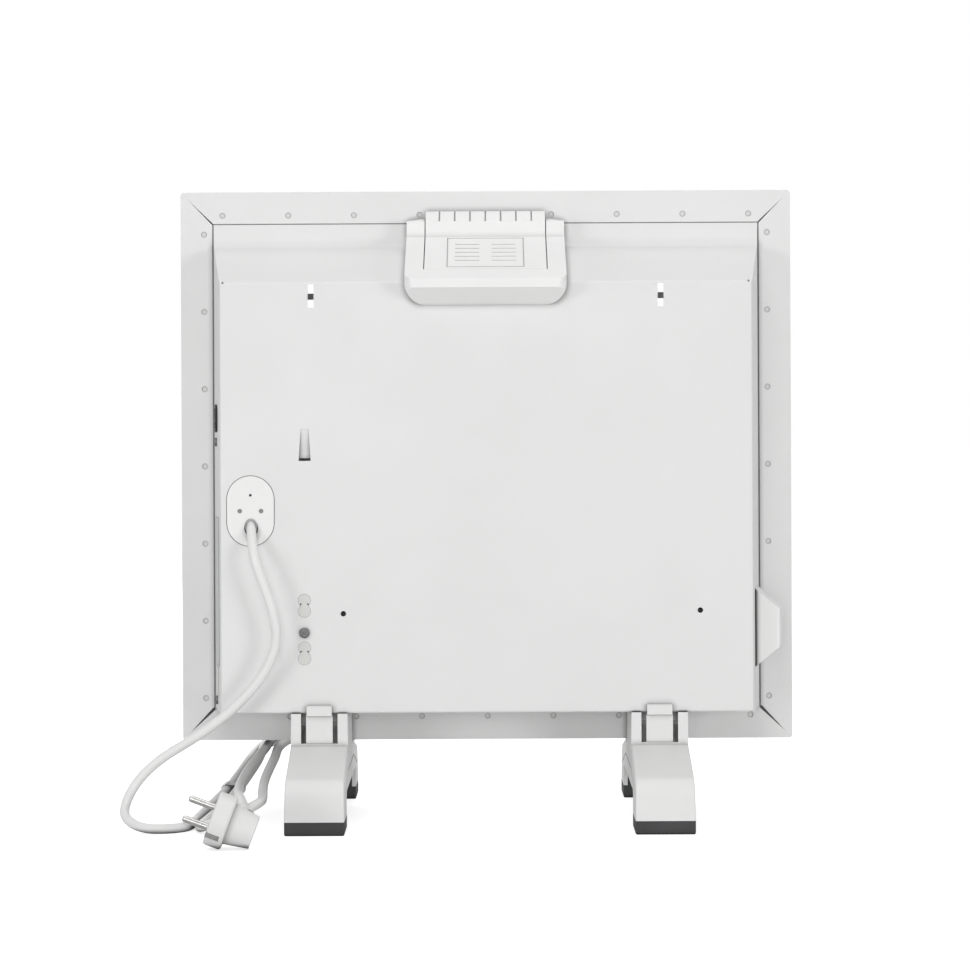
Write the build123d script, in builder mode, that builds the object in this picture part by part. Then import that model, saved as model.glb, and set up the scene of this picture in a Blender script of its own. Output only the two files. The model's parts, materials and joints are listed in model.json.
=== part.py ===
from build123d import *
import math
import os

# Panel convector heater on two clip-on legs, in millimetres.
# X runs to the right seen from the front, the front faces -Y, Z is up.
# The origin is on the floor, in the middle between the four rubber feet.

# Clearances
RUN_GAP = 0.3
SEAT_GAP = 0.2
SNUG_GAP = 0.15
HAIRLINE = 0.12
PIN_FIT = 0.08

# Front panel
PANEL_WIDTH = 460.0
PANEL_BOTTOM = 51.3
PANEL_TOP = 464.7
PANEL_FRONT = -45.0
PANEL_DEPTH = 15.0
PANEL_SHEET = 1.0
FLANGE = 23.8
PANEL_CORNER = 2.6
PANEL_EDGE = 1.6

# Mitre slits in the return flange: at the top or not, width at the window corner, reach outwards
SLITS = [(True, 1.1, 18.2), (False, 2.4, 18.0)]

# Clinch points along the return flange
CLINCH_INSET = 17.6
CLINCH_END_X = 31.6
CLINCH_END_Z = 31.8
CLINCH_COLUMNS = 9
CLINCH_ROWS = 7
CLINCH_RADIUS = 2.3
CLINCH_DEPTH = 0.75
CLINCH_TAPER = 25.0

# Warm-air outlet in the front panel; its first row lies the drop below the panel's top
OUTLET_DROP = 113.6
OUTLET_SLOT = 46.0
OUTLET_SLOT_HEIGHT = 9.4
OUTLET_PITCH_X = 52.0
OUTLET_PITCH_Z = 14.0
OUTLET_FULL_ROWS = 4
OUTLET_SPLIT_ROWS = 3
OUTLET_COLUMNS = 6
OUTLET_SIDE_COLUMNS = 2

# Rear casing; drops are measured down from the panel's top
CASING_REAR = 45.0
CASING_SHEET = 1.0
CASING_TOP_DROP = 70.6
CASING_FLOOR = 79.0
CASING_FLOOR_RISE = 3.2
CASING_TAPER = 10.6
COVE_DROP = 41.2
COVE_SETBACK = 1.5
COVE_RADIUS = 9.0
CASING_EDGE = 1.6
FLANGE_GAP = 0.8
CLINCH_FLANGE = 17.0

# Openings and pressings in the rear wall
HOOK_X = 128.0
HOOK_WIDTH = 4.4
HOOK_DROP = 1.0
HOOK_HEIGHT = 17.5
PILOT_RADIUS = 2.0
PILOT_LEFT = (105.1, 151.8)
PILOT_RIGHT = (-156.0, 153.3)
TONGUE_X = 132.9
TONGUE_TOP = 287.1
TONGUE_BOTTOM = 263.7
TONGUE_TOP_WIDTH = 5.8
TONGUE_BOTTOM_WIDTH = 8.8
TONGUE_DEPTH = 3.2
TONGUE_MOUTH = 1.9
RELIEF_RADIUS = 0.7
RELIEF_INSET = 2.4

# Cool-air inlet in the casing floor
INLET_SLOT = 44.0
INLET_SLOT_WIDTH = 6.0
INLET_PITCH_X = 12.0
INLET_MIDDLE_COUNT = 15
INLET_SIDE_COUNT = 3
INLET_SIDE_INSET = 24.8
INLET_MID_Y = 6.0

# Legs
LEG_PITCH = 248.8
LEG_SHIFT = -1.4
LEG_NECK_WIDTH = 41.2
LEG_FOOT_WIDTH = 42.8
LEG_WALL = 2.4
LEG_TIP = 121.2
LEG_SHOULDER = (117.5, 37.2)
LEG_SHOULDER_RADIUS = 13.0
LEG_REAR_NECK = (46.8, 55.6)
LEG_FRONT_RISE = (-46.0, 50.1)
LEG_FRONT_NECK = -28.3
LEG_ARCH_HALF = 79.0
LEG_ARCH_TOP = 26.0
LEG_ARCH_RADIUS = 9.0
LEG_EDGE = 1.2
LEG_ROOF = 7.0
LEG_GROOVE_DROP = 12.0
LEG_GROOVE_WIDTH = 0.9
LEG_GROOVE_DEPTH = 0.5
LEG_PEG_WIDTH = 30.0
LEG_PEG_THICK = 4.0
LEG_PEG_FRONT = -18.0
LEG_PEG_REAR = 30.0
LEG_PEG_RISE = 12.0
LEG_SLOT_GAP = 0.4

# Rubber foot pads
PAD_HEIGHT = 9.7
PAD_EDGE = 1.3
PAD_PLUG_RISE = 4.0
PAD_PLUG_INSET = 3.4

# Spring latch tongue in the rear of each leg
LATCH_HALF = 9.7
LATCH_SLOT = 3.7
LATCH_ROOT = 57.0
LATCH_THICK = 2.2
LATCH_RECESS = 0.8
LATCH_SEAM = 77.4
LATCH_TOP = 84.8
LATCH_PAD_THICK = 2.9
LATCH_PAD_HALF = 9.2
LATCH_POCKET = 34.0

# Control unit housing; its corners are (Y, drop below the panel's top)
UNIT_HALF = 59.0
UNIT_WALL = 2.0
UNIT_CORNER = 16.0
UNIT_PLAN_CORNER = 8.0
UNIT_TOP_DROP = 20.5
UNIT_SHOULDER_DROP = 2.6
UNIT_LIP_DROP = 87.7
BAND_TOP = (-13.0, 23.4)
BAND_FOOT = (-10.0, 34.7)
NOSE_TOP = (66.0, 68.3)
NOSE_FOOT = (67.2, 75.2)
NECK_HALF = 44.0
NECK_TOP_DROP = 43.7
NECK_HEIGHT = 20.0
UNIT_OPENING_HALF = 50.0
UNIT_OPENING_LAP = 7.0
UNIT_OPENING_DROP = 30.7

# Release tab on top of the control unit
TAB_HALF = 44.8
TAB_GAP = 0.7
TAB_ROOT_DROP = 61.4
TAB_TIP = (-27.4, 15.1)
TAB_THICK = 2.0
TAB_TRAVEL_ROOM = 4.5
TAB_GROOVES = 7
TAB_GROOVE_PITCH = 11.5
TAB_GROOVE_WIDTH = 1.1
TAB_GROOVE_DEPTH = 1.0
LINE_DEPTH = 0.5
FRAME_WIDTH = 57.0
FRAME_INSET = 4.0
FRAME_LINE = 0.8
GRIP_PITCH_X = 27.0
GRIP_PITCH_Y = 8.0
GRIP_LENGTH = 18.0
GRIP_LINES = 5

# Fascia with its display and buttons
FASCIA_WIDTH = 92.0
FASCIA_HEIGHT = 30.0
FASCIA_DROP = 49.7
FASCIA_CORNER = 4.0
FASCIA_THICK = 3.0
FASCIA_PROUD = 0.6
DISPLAY_X = -17.0
DISPLAY_WIDTH = 42.0
DISPLAY_HEIGHT = 16.0
DISPLAY_THICK = 1.6
BUTTON_XS = (12.0, 20.5, 29.0, 37.5)
BUTTON_RADIUS = 3.1
BUTTON_PROUD = 1.2
BUTTON_FLANGE = 3.8
BUTTON_TRAVEL = 0.8
BOARD_THICK = 1.6

# Plug connection under the control unit's neck
PLUG_HALF = 15.0
PLUG_HEIGHT = 10.0
PLUG_FRONT = -26.0
PLUG_REAR = -8.0
SOCKET_LAP = 8.6
SOCKET_FOOT = 2.0
PLUG_PIN_RADIUS = 1.2
PLUG_PIN_LENGTH = 9.0
PLUG_PIN_PITCH = 8.0

# Mains switch in the right-hand wall
SWITCH_Y = 6.0
SWITCH_Z = 294.6
SWITCH_HEIGHT = 21.0
SWITCH_WIDTH = 14.0
SWITCH_FLANGE = 1.6
BEZEL_THICK = 1.8
BEZEL_DEPTH = 12.0
ROCKER_GAP = 0.35
ROCKER_TILT = 14.0
ROCKER_DEPTH = 5.5
ROCKER_RADIUS = 7.0
ROCKER_HALF = 3.45
TRUNNION_RADIUS = 1.0
TRUNNION_LENGTH = 1.2

# Air sensor in the left-hand wall
SENSOR_Y = 6.0
SENSOR_Z = 138.5
SENSOR_BASE_HALF = 29.0
SENSOR_FACE_HALF = 13.5
SENSOR_DEPTH = 34.0
SENSOR_STAND = 18.5
SENSOR_EDGE = 2.5
SENSOR_WALL = 1.8
SENSOR_HOLE_RADIUS = 7.0
BEAD_RADIUS = 1.8

# Plates and screws on the right-hand wall
PLATE_WIDTH = 42.0
PLATE_HEIGHT = 109.0
PLATE_THICK = 0.4
PLATE_Y = 6.0
PLATE_Z = 166.5
SEAL_WIDTH = 30.0
SEAL_HEIGHT = 21.0
SEAL_Y = 2.0
SEAL_Z = 99.7
SIDE_SCREWS = [(2.0, 277.0), (2.0, 85.0)]
SIDE_SCREW_HOLE = 1.4
SCREW_HEAD = 3.2
SCREW_HEAD_RISE = 1.7
SCREW_SHANK = 8.0
CROSS_LENGTH = 3.4
CROSS_WIDTH = 0.9
CROSS_DEPTH = 1.1

# Cord plate in the rear wall
CORD_X = 172.7
CORD_Z = 227.2
CORD_PLATE_WIDTH = 34.4
CORD_PLATE_HEIGHT = 51.2
CORD_PLATE_THICK = 2.4
CORD_PLATE_PROUD = 0.3
CORD_PLATE_GAP = 0.45
CORD_PLATE_RIM = 3.0
CORD_PLATE_RIM_THICK = 1.6
CORD_SCREW_X = 7.8
CORD_SCREW_RADIUS = 1.6
CORD_SCREW_LENGTH = 7.0
CORD_LAMP_Z = 11.6
LAMP_HOLE_RADIUS = 1.0

# Tip-over switch behind the rear wall, and its two snap studs
STUD_X = 133.6
STUD_Z = (157.7, 123.0)
STUD_RADIUS = 4.6
STUD_SPREAD = 7.8
TIP_SCREW_Z = 137.9
TIP_SCREW_HOLE = 1.8
TIP_BASE_WIDTH = 24.0
TIP_BASE_THICK = 2.2
TIP_BASE_END = 12.0
TIP_BODY_WIDTH = 20.0
TIP_BODY_DEPTH = 18.0
TIP_BODY_HEIGHT = 30.0
TIP_HEAD = 3.65
TIP_CROSS = (-0.77, 0, 0.64)
NOTCH_X = 2.9
NOTCH_RISE = 1.0
NOTCH_LENGTH = 2.2
NOTCH_WIDTH = 0.8
NOTCH_TURN = 35.0

# Heating element and its brackets
ELEMENT_Y = 6.0
ELEMENT_Z = 152.5
ELEMENT_LEFT = -147.0
ELEMENT_RIGHT = 96.0
ELEMENT_HUB = 10.0
ELEMENT_FINS = 10
ELEMENT_FIN_REACH = 34.0
ELEMENT_FIN_THICK = 2.0
BUSH_RADIUS = 6.5
BUSH_LENGTH = 14.0
TERMINAL_RADIUS = 2.0
TERMINAL_LENGTH = 9.0
BRACKET_SHEET = 1.2
BRACKET_HALF = 15.0
BRACKET_NOSE = 12.0

# Thermal cut-out, terminal block and earth stud on the rear wall
CUTOUT_X = 60.0
CUTOUT_Z = 230.0
CUTOUT_RADIUS = 8.0
CUTOUT_DEPTH = 10.0
CUTOUT_FLANGE = 28.0
BLOCK_INSET = 26.8
BLOCK_Z = 186.0
BLOCK_WIDTH = 36.0
BLOCK_HEIGHT = 18.0
BLOCK_DEPTH = 14.0
BLOCK_POLES = 3
BLOCK_PITCH = 10.0
EARTH_INSET = 8.8
EARTH_Z = 150.0

# Mains cord, its sleeves and its tie
CORD_RADIUS = 3.5
CORD_START = (172.7, 38.5, 221.0)
CORD_EXIT_WAY = (-1.8, 25.0, -22.0)
SLEEVE_ROOT = 4.9
SLEEVE_TIP = 4.1
SLEEVE_LENGTH = 22.0
SLEEVE_DROP = 0.6
SLEEVE_SEAT = 8.0
TIE_OUTER = (193.4, 7.0, 19.0)
TIE_INNER = (184.8, 7.0, 19.6)
TIE_WIDTH = 5.0
TIE_THICK = 0.5
TIE_GAP = 0.8
TIE_WAY = (-0.3, -0.89, 0.33)

# Mains plug, lying on its rim
MAINS_FACE = (190.0, 182.0, 22.1)
MAINS_AIM = (0.938, 0.0, 0.346)
MAINS_ROW = (-0.293, 0.53, 0.795)
MAINS_DISC = 19.0
MAINS_DISC_DEPTH = 13.0
MAINS_GRIP = 14.5
MAINS_GRIP_DEPTH = 18.0
MAINS_GRIP_TAPER = 9.0
MAINS_ROUND = 2.0
CORD_END = (167.0, 168.0, 22.5)
MAINS_PIN_RADIUS = 2.4
MAINS_PIN_LENGTH = 19.0
MAINS_PIN_SEAT = 8.0
MAINS_PIN_PITCH = 19.0
EARTH_STRIP_WIDTH = 4.2
EARTH_STRIP_THICK = 1.0
EARTH_STRIP_LENGTH = 10.0

# Places worked out from the driving sizes
PANEL_HALF = PANEL_WIDTH / 2
PANEL_HEIGHT = PANEL_TOP - PANEL_BOTTOM
PANEL_MID_Z = (PANEL_TOP + PANEL_BOTTOM) / 2
FLANGE_REAR = PANEL_FRONT + PANEL_DEPTH
FLANGE_FRONT = FLANGE_REAR - PANEL_SHEET
PANEL_INNER = PANEL_FRONT + PANEL_SHEET
WINDOW_HALF = PANEL_HALF - FLANGE
WINDOW_BOTTOM = PANEL_BOTTOM + FLANGE
WINDOW_TOP = PANEL_TOP - FLANGE
CASING_FRONT = FLANGE_FRONT - CASING_SHEET
CASING_BASE_HALF = WINDOW_HALF - FLANGE_GAP
CASING_DEPTH = CASING_REAR - CASING_FRONT
WALL_TILT = math.degrees(math.atan2(CASING_TAPER, CASING_DEPTH))
CASING_BASE_BOTTOM = CASING_FLOOR - CASING_FLOOR_RISE
CASING_BASE_TOP = WINDOW_TOP - FLANGE_GAP
CASING_REAR_HALF = CASING_BASE_HALF - CASING_TAPER
CASING_TOP = PANEL_TOP - CASING_TOP_DROP
COVE_Z = PANEL_TOP - COVE_DROP
INNER_REAR = CASING_REAR - CASING_SHEET
HOOK_TOP = CASING_TOP - HOOK_DROP
HOOK_BOTTOM = HOOK_TOP - HOOK_HEIGHT
INLET_SIDE_X = CASING_REAR_HALF - INLET_SIDE_INSET
BLOCK_X = CASING_REAR_HALF - BLOCK_INSET
EARTH_X = CASING_REAR_HALF - EARTH_INSET
CLINCH_PITCH_X = (PANEL_WIDTH - 2 * CLINCH_END_X) / (CLINCH_COLUMNS - 1)
CLINCH_PITCH_Z = (PANEL_HEIGHT - 2 * CLINCH_END_Z) / (CLINCH_ROWS - 1)
OUTLET_FIRST_Z = PANEL_TOP - OUTLET_DROP
FASCIA_Z = PANEL_TOP - FASCIA_DROP
UNIT_SHOULDER_TOP = PANEL_TOP - UNIT_TOP_DROP
UNIT_LIP_Z = PANEL_TOP - UNIT_LIP_DROP
UNIT_BAND_TOP, UNIT_BAND_FOOT, UNIT_NOSE_TOP, UNIT_NOSE_FOOT, TAB_TOP = [
    (y, PANEL_TOP - drop) for y, drop in (BAND_TOP, BAND_FOOT, NOSE_TOP, NOSE_FOOT, TAB_TIP)
]
TAB_ROOT_Z = PANEL_TOP - TAB_ROOT_DROP
UNIT_OPENING_BOTTOM = UNIT_LIP_Z + UNIT_OPENING_LAP
UNIT_OPENING_TOP = PANEL_TOP - UNIT_OPENING_DROP
NECK_TOP = PANEL_TOP - NECK_TOP_DROP
NECK_BOTTOM = NECK_TOP - NECK_HEIGHT
PLUG_BOTTOM = NECK_BOTTOM - PLUG_HEIGHT
SOCKET_TOP = PLUG_BOTTOM + SOCKET_LAP
SOCKET_BOTTOM = PLUG_BOTTOM - SOCKET_FOOT


def write(part, name):
    part.label = name
    export_step(part, "parts/" + name + ".step")
    return part


def casing_half(y):
    return CASING_BASE_HALF - CASING_TAPER * (y - CASING_FRONT) / CASING_DEPTH


def floor_z(y):
    return CASING_BASE_BOTTOM + CASING_FLOOR_RISE * (y - CASING_FRONT) / CASING_DEPTH


def cove_z(y):
    start = FLANGE_REAR + COVE_SETBACK
    return COVE_Z - (COVE_Z - CASING_TOP) * (y - start) / (CASING_REAR - start)


os.makedirs("parts", exist_ok=True)

# Front panel: folded tray with a return flange all round
with BuildPart() as front_panel:
    with BuildSketch(Plane.XZ.offset(-PANEL_FRONT)):
        with Locations((0, PANEL_MID_Z)):
            RectangleRounded(PANEL_WIDTH, PANEL_HEIGHT, PANEL_CORNER)
    extrude(amount=-PANEL_DEPTH)
    fillet(front_panel.faces().sort_by(Axis.Y)[0].edges(), PANEL_EDGE)
    with BuildSketch(Plane.XZ.offset(-PANEL_INNER)):
        with Locations((0, PANEL_MID_Z)):
            Rectangle(PANEL_WIDTH - 2 * PANEL_SHEET, PANEL_HEIGHT - 2 * PANEL_SHEET)
    extrude(amount=PANEL_INNER - FLANGE_FRONT, mode=Mode.SUBTRACT)
    with BuildSketch(Plane.XZ.offset(-FLANGE_FRONT)):
        with Locations((0, (WINDOW_TOP + WINDOW_BOTTOM) / 2)):
            Rectangle(2 * WINDOW_HALF, WINDOW_TOP - WINDOW_BOTTOM)
    extrude(amount=-PANEL_SHEET, mode=Mode.SUBTRACT)

    # Mitre slits at the four rear corners
    with BuildSketch(Plane.XZ.offset(-FLANGE_FRONT)):
        for side in (1, -1):
            for top, mouth, reach in SLITS:
                corner_x = side * WINDOW_HALF
                corner_z = WINDOW_TOP if top else WINDOW_BOTTOM
                rise = 1 if top else -1
                half = mouth / math.sqrt(2) / 2
                with BuildLine():
                    Polyline(
                        (corner_x - side * half, corner_z + rise * half),
                        (corner_x - side * half, corner_z - rise * half),
                        (corner_x + side * half, corner_z - rise * half),
                        (corner_x + side * reach, corner_z + rise * reach),
                        close=True,
                    )
                make_face()
    extrude(amount=-PANEL_SHEET, mode=Mode.SUBTRACT)

    # Clinch points pressed into the return flange
    with BuildSketch(Plane.XZ.offset(-FLANGE_REAR)):
        with Locations((0, PANEL_MID_Z)):
            with GridLocations(CLINCH_PITCH_X, PANEL_HEIGHT - 2 * CLINCH_INSET, CLINCH_COLUMNS, 2):
                Circle(CLINCH_RADIUS)
            with GridLocations(PANEL_WIDTH - 2 * CLINCH_INSET, CLINCH_PITCH_Z, 2, CLINCH_ROWS):
                Circle(CLINCH_RADIUS)
    extrude(amount=CLINCH_DEPTH, taper=CLINCH_TAPER, mode=Mode.SUBTRACT)

    # Warm-air slots, with room left for the control fascia
    full_rows_z = OUTLET_FIRST_Z + OUTLET_PITCH_Z * (OUTLET_FULL_ROWS - 1) / 2
    split_rows_z = OUTLET_FIRST_Z + OUTLET_PITCH_Z * (OUTLET_FULL_ROWS + (OUTLET_SPLIT_ROWS - 1) / 2)
    side_x = OUTLET_PITCH_X * (OUTLET_COLUMNS - OUTLET_SIDE_COLUMNS) / 2
    with BuildSketch(Plane.XZ.offset(-PANEL_FRONT)):
        with Locations((0, full_rows_z)):
            with GridLocations(OUTLET_PITCH_X, OUTLET_PITCH_Z, OUTLET_COLUMNS, OUTLET_FULL_ROWS):
                SlotOverall(OUTLET_SLOT, OUTLET_SLOT_HEIGHT)
        with Locations((-side_x, split_rows_z), (side_x, split_rows_z)):
            with GridLocations(OUTLET_PITCH_X, OUTLET_PITCH_Z, OUTLET_SIDE_COLUMNS, OUTLET_SPLIT_ROWS):
                SlotOverall(OUTLET_SLOT, OUTLET_SLOT_HEIGHT)
    extrude(amount=-PANEL_SHEET, mode=Mode.SUBTRACT)

    # Window for the control fascia
    with BuildSketch(Plane.XZ.offset(-PANEL_FRONT)):
        with Locations((0, FASCIA_Z)):
            RectangleRounded(FASCIA_WIDTH + 2 * RUN_GAP, FASCIA_HEIGHT + 2 * RUN_GAP, FASCIA_CORNER)
    extrude(amount=-PANEL_SHEET, mode=Mode.SUBTRACT)
write(front_panel.part, "front_panel")

LEG_XS = (LEG_SHIFT + LEG_PITCH / 2, LEG_SHIFT - LEG_PITCH / 2)


def side_plane(side, y, z):
    """Plane on the casing's side wall, its x axis up and its y axis to the front or rear."""
    tilt = math.radians(WALL_TILT)
    normal = (side * math.cos(tilt), math.sin(tilt), 0)
    return Plane(origin=(side * casing_half(y), y, z), x_dir=(0, 0, 1), z_dir=normal)


def figure_eight(radius, spread):
    """Two overlapping circles, one above the other, about the sketch's current place."""
    with Locations((0, spread / 2), (0, -spread / 2)):
        Circle(radius)


# Rear casing: a deep tapered tray with a sloping top
with BuildPart() as rear_casing:
    with BuildSketch(Plane.YZ.offset(-CASING_BASE_HALF)):
        with BuildLine():
            Polyline(
                (CASING_FRONT, CASING_BASE_BOTTOM),
                (CASING_REAR, CASING_FLOOR),
                (CASING_REAR, CASING_TOP),
                (FLANGE_REAR + COVE_SETBACK, COVE_Z),
                (FLANGE_REAR, CASING_BASE_TOP),
                (CASING_FRONT, CASING_BASE_TOP),
                close=True,
            )
        make_face()
    extrude(amount=2 * CASING_BASE_HALF)
    with BuildSketch(Plane.XY):
        with BuildLine():
            Polyline(
                (-CASING_BASE_HALF, CASING_FRONT),
                (CASING_BASE_HALF, CASING_FRONT),
                (CASING_REAR_HALF, CASING_REAR),
                (-CASING_REAR_HALF, CASING_REAR),
                close=True,
            )
        make_face()
    extrude(amount=PANEL_TOP, mode=Mode.INTERSECT)
    fillet(
        rear_casing.edges().filter_by(Axis.X).filter_by(
            lambda e: abs(e.center().Z - COVE_Z) < 1
        ),
        COVE_RADIUS,
    )
    fillet(rear_casing.faces().sort_by(Axis.Y)[-1].edges(), CASING_EDGE)
    offset(amount=-CASING_SHEET, openings=rear_casing.faces().sort_by(Axis.Y)[0])

    # Clinch flanges behind the panel's return flange, open at the corners
    with BuildSketch(Plane.XZ.offset(-CASING_FRONT)):
        with Locations((0, (CASING_BASE_TOP + CASING_BASE_BOTTOM) / 2)):
            Rectangle(2 * (CASING_BASE_HALF + CLINCH_FLANGE), CASING_BASE_TOP - CASING_BASE_BOTTOM)
            Rectangle(2 * CASING_BASE_HALF, CASING_BASE_TOP - CASING_BASE_BOTTOM + 2 * CLINCH_FLANGE)
        with Locations((0, (CASING_BASE_TOP + CASING_BASE_BOTTOM) / 2)):
            Rectangle(
                2 * (CASING_BASE_HALF - CASING_SHEET),
                CASING_BASE_TOP - CASING_BASE_BOTTOM - 2 * CASING_SHEET,
                mode=Mode.SUBTRACT,
            )
    extrude(amount=-CASING_SHEET)

    # Openings in the rear wall
    with BuildSketch(Plane.XZ.offset(-CASING_REAR)):
        for side in (1, -1):
            with Locations((side * HOOK_X, (HOOK_TOP + HOOK_BOTTOM) / 2)):
                Rectangle(HOOK_WIDTH, HOOK_TOP - HOOK_BOTTOM)
        with Locations(PILOT_LEFT, PILOT_RIGHT):
            Circle(PILOT_RADIUS)
        with Locations((CORD_X, CORD_Z)):
            SlotOverall(
                CORD_PLATE_HEIGHT + 2 * CORD_PLATE_GAP,
                CORD_PLATE_WIDTH + 2 * CORD_PLATE_GAP,
                rotation=90,
            )
        for stud_z in STUD_Z:
            with Locations((STUD_X, stud_z)):
                figure_eight(STUD_RADIUS + SNUG_GAP, STUD_SPREAD)
        with Locations((STUD_X, TIP_SCREW_Z)):
            Circle(TIP_SCREW_HOLE)
        with BuildLine():
            Polyline(
                (TONGUE_X - TONGUE_TOP_WIDTH / 2, TONGUE_TOP),
                (TONGUE_X + TONGUE_TOP_WIDTH / 2, TONGUE_TOP),
                (TONGUE_X + TONGUE_BOTTOM_WIDTH / 2, TONGUE_BOTTOM),
                (TONGUE_X - TONGUE_BOTTOM_WIDTH / 2, TONGUE_BOTTOM),
                close=True,
            )
        make_face()
    extrude(amount=CASING_SHEET, mode=Mode.SUBTRACT)

    # Pressed-in tongue, open at its lower end
    with BuildSketch(Plane.YZ.offset(TONGUE_X - TONGUE_BOTTOM_WIDTH / 2)):
        with BuildLine():
            Polyline(
                (CASING_REAR, TONGUE_TOP + CASING_SHEET),
                (CASING_REAR - TONGUE_DEPTH, TONGUE_BOTTOM + TONGUE_MOUTH),
                (INNER_REAR - TONGUE_DEPTH, TONGUE_BOTTOM + TONGUE_MOUTH),
                (INNER_REAR, TONGUE_TOP + CASING_SHEET),
                close=True,
            )
        make_face()
    extrude(amount=TONGUE_BOTTOM_WIDTH)

    # Opening for the control unit, through the slope and the wall below it
    with BuildSketch(Plane.XZ.offset(-CASING_REAR)):
        with Locations((0, (UNIT_OPENING_TOP + UNIT_OPENING_BOTTOM) / 2)):
            Rectangle(2 * UNIT_OPENING_HALF, UNIT_OPENING_TOP - UNIT_OPENING_BOTTOM)
        relief_x = CASING_REAR_HALF - RELIEF_INSET
        with Locations((relief_x, CASING_TOP), (-relief_x, CASING_TOP)):
            Circle(RELIEF_RADIUS)
    extrude(amount=CASING_REAR - FLANGE_FRONT, mode=Mode.SUBTRACT)

    # Holes in the side walls for the switch, the sensor and the side screws
    with BuildSketch(side_plane(1, SWITCH_Y, SWITCH_Z)):
        SlotOverall(SWITCH_HEIGHT - 2 * SWITCH_FLANGE, SWITCH_WIDTH - 2 * SWITCH_FLANGE)
    extrude(amount=3 * CASING_SHEET, both=True, mode=Mode.SUBTRACT)
    with BuildSketch(side_plane(-1, SENSOR_Y, SENSOR_Z)):
        Circle(SENSOR_HOLE_RADIUS)
    extrude(amount=3 * CASING_SHEET, both=True, mode=Mode.SUBTRACT)
    for screw_y, screw_z in SIDE_SCREWS:
        with BuildSketch(side_plane(1, screw_y, screw_z)):
            Circle(SIDE_SCREW_HOLE)
        extrude(amount=3 * CASING_SHEET, both=True, mode=Mode.SUBTRACT)

    # Air inlet slots and the slots for the leg pegs in the floor
    with BuildSketch(Plane.XY.offset(CASING_BASE_BOTTOM - CASING_SHEET)):
        with Locations((LEG_SHIFT, INLET_MID_Y)):
            with GridLocations(INLET_PITCH_X, INLET_SLOT, INLET_MIDDLE_COUNT, 1):
                SlotOverall(INLET_SLOT, INLET_SLOT_WIDTH, rotation=90)
        with Locations((INLET_SIDE_X, INLET_MID_Y), (-INLET_SIDE_X, INLET_MID_Y)):
            with GridLocations(INLET_PITCH_X, INLET_SLOT, INLET_SIDE_COUNT, 1):
                SlotOverall(INLET_SLOT, INLET_SLOT_WIDTH, rotation=90)
        for leg_x in LEG_XS:
            with Locations((leg_x, LEG_PEG_FRONT), (leg_x, LEG_PEG_REAR)):
                Rectangle(LEG_PEG_WIDTH + 2 * LEG_SLOT_GAP, LEG_PEG_THICK + 2 * LEG_SLOT_GAP)
    extrude(amount=CASING_FLOOR_RISE + 3 * CASING_SHEET, mode=Mode.SUBTRACT)
write(rear_casing.part, "rear_casing")


def leg_outline(inset, bottom):
    """Side outline of a leg without its arch; inset moves the outer skin inwards."""
    tip = LEG_TIP - inset
    shoulder_y = LEG_SHOULDER[0] - inset
    shoulder_z = LEG_SHOULDER[1] - inset
    roof = LEG_ROOF if inset else SEAT_GAP
    return [
        (tip, bottom),
        (shoulder_y, shoulder_z),
        (LEG_REAR_NECK[0] - inset, LEG_REAR_NECK[1] - inset),
        (LEG_REAR_NECK[0] - inset, floor_z(LEG_REAR_NECK[0]) - roof),
        (LEG_FRONT_NECK + inset, floor_z(LEG_FRONT_NECK) - roof),
        (LEG_FRONT_NECK + inset, LEG_FRONT_RISE[1] - inset),
        (LEG_FRONT_RISE[0], LEG_FRONT_RISE[1] - inset),
        (-shoulder_y, shoulder_z),
        (-tip, bottom),
    ]


def is_shoulder(vertex):
    return abs(vertex.X) > LEG_ARCH_HALF and vertex.Y > PAD_HEIGHT + LEG_WALL


def leg_groove():
    """Centre line of the side groove, from one foot over to the other."""
    foot = (LEG_TIP - LEG_GROOVE_DROP, PAD_HEIGHT + LEG_WALL)
    shoulder = (LEG_SHOULDER[0] - LEG_GROOVE_DROP, LEG_SHOULDER[1] - LEG_GROOVE_DROP)
    middle = (LEG_REAR_NECK[0], LEG_FRONT_RISE[1] - LEG_GROOVE_DROP)
    rear_half = [foot, shoulder, middle]
    front_half = [(-y, z) for y, z in reversed(rear_half)]
    return rear_half + front_half


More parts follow.
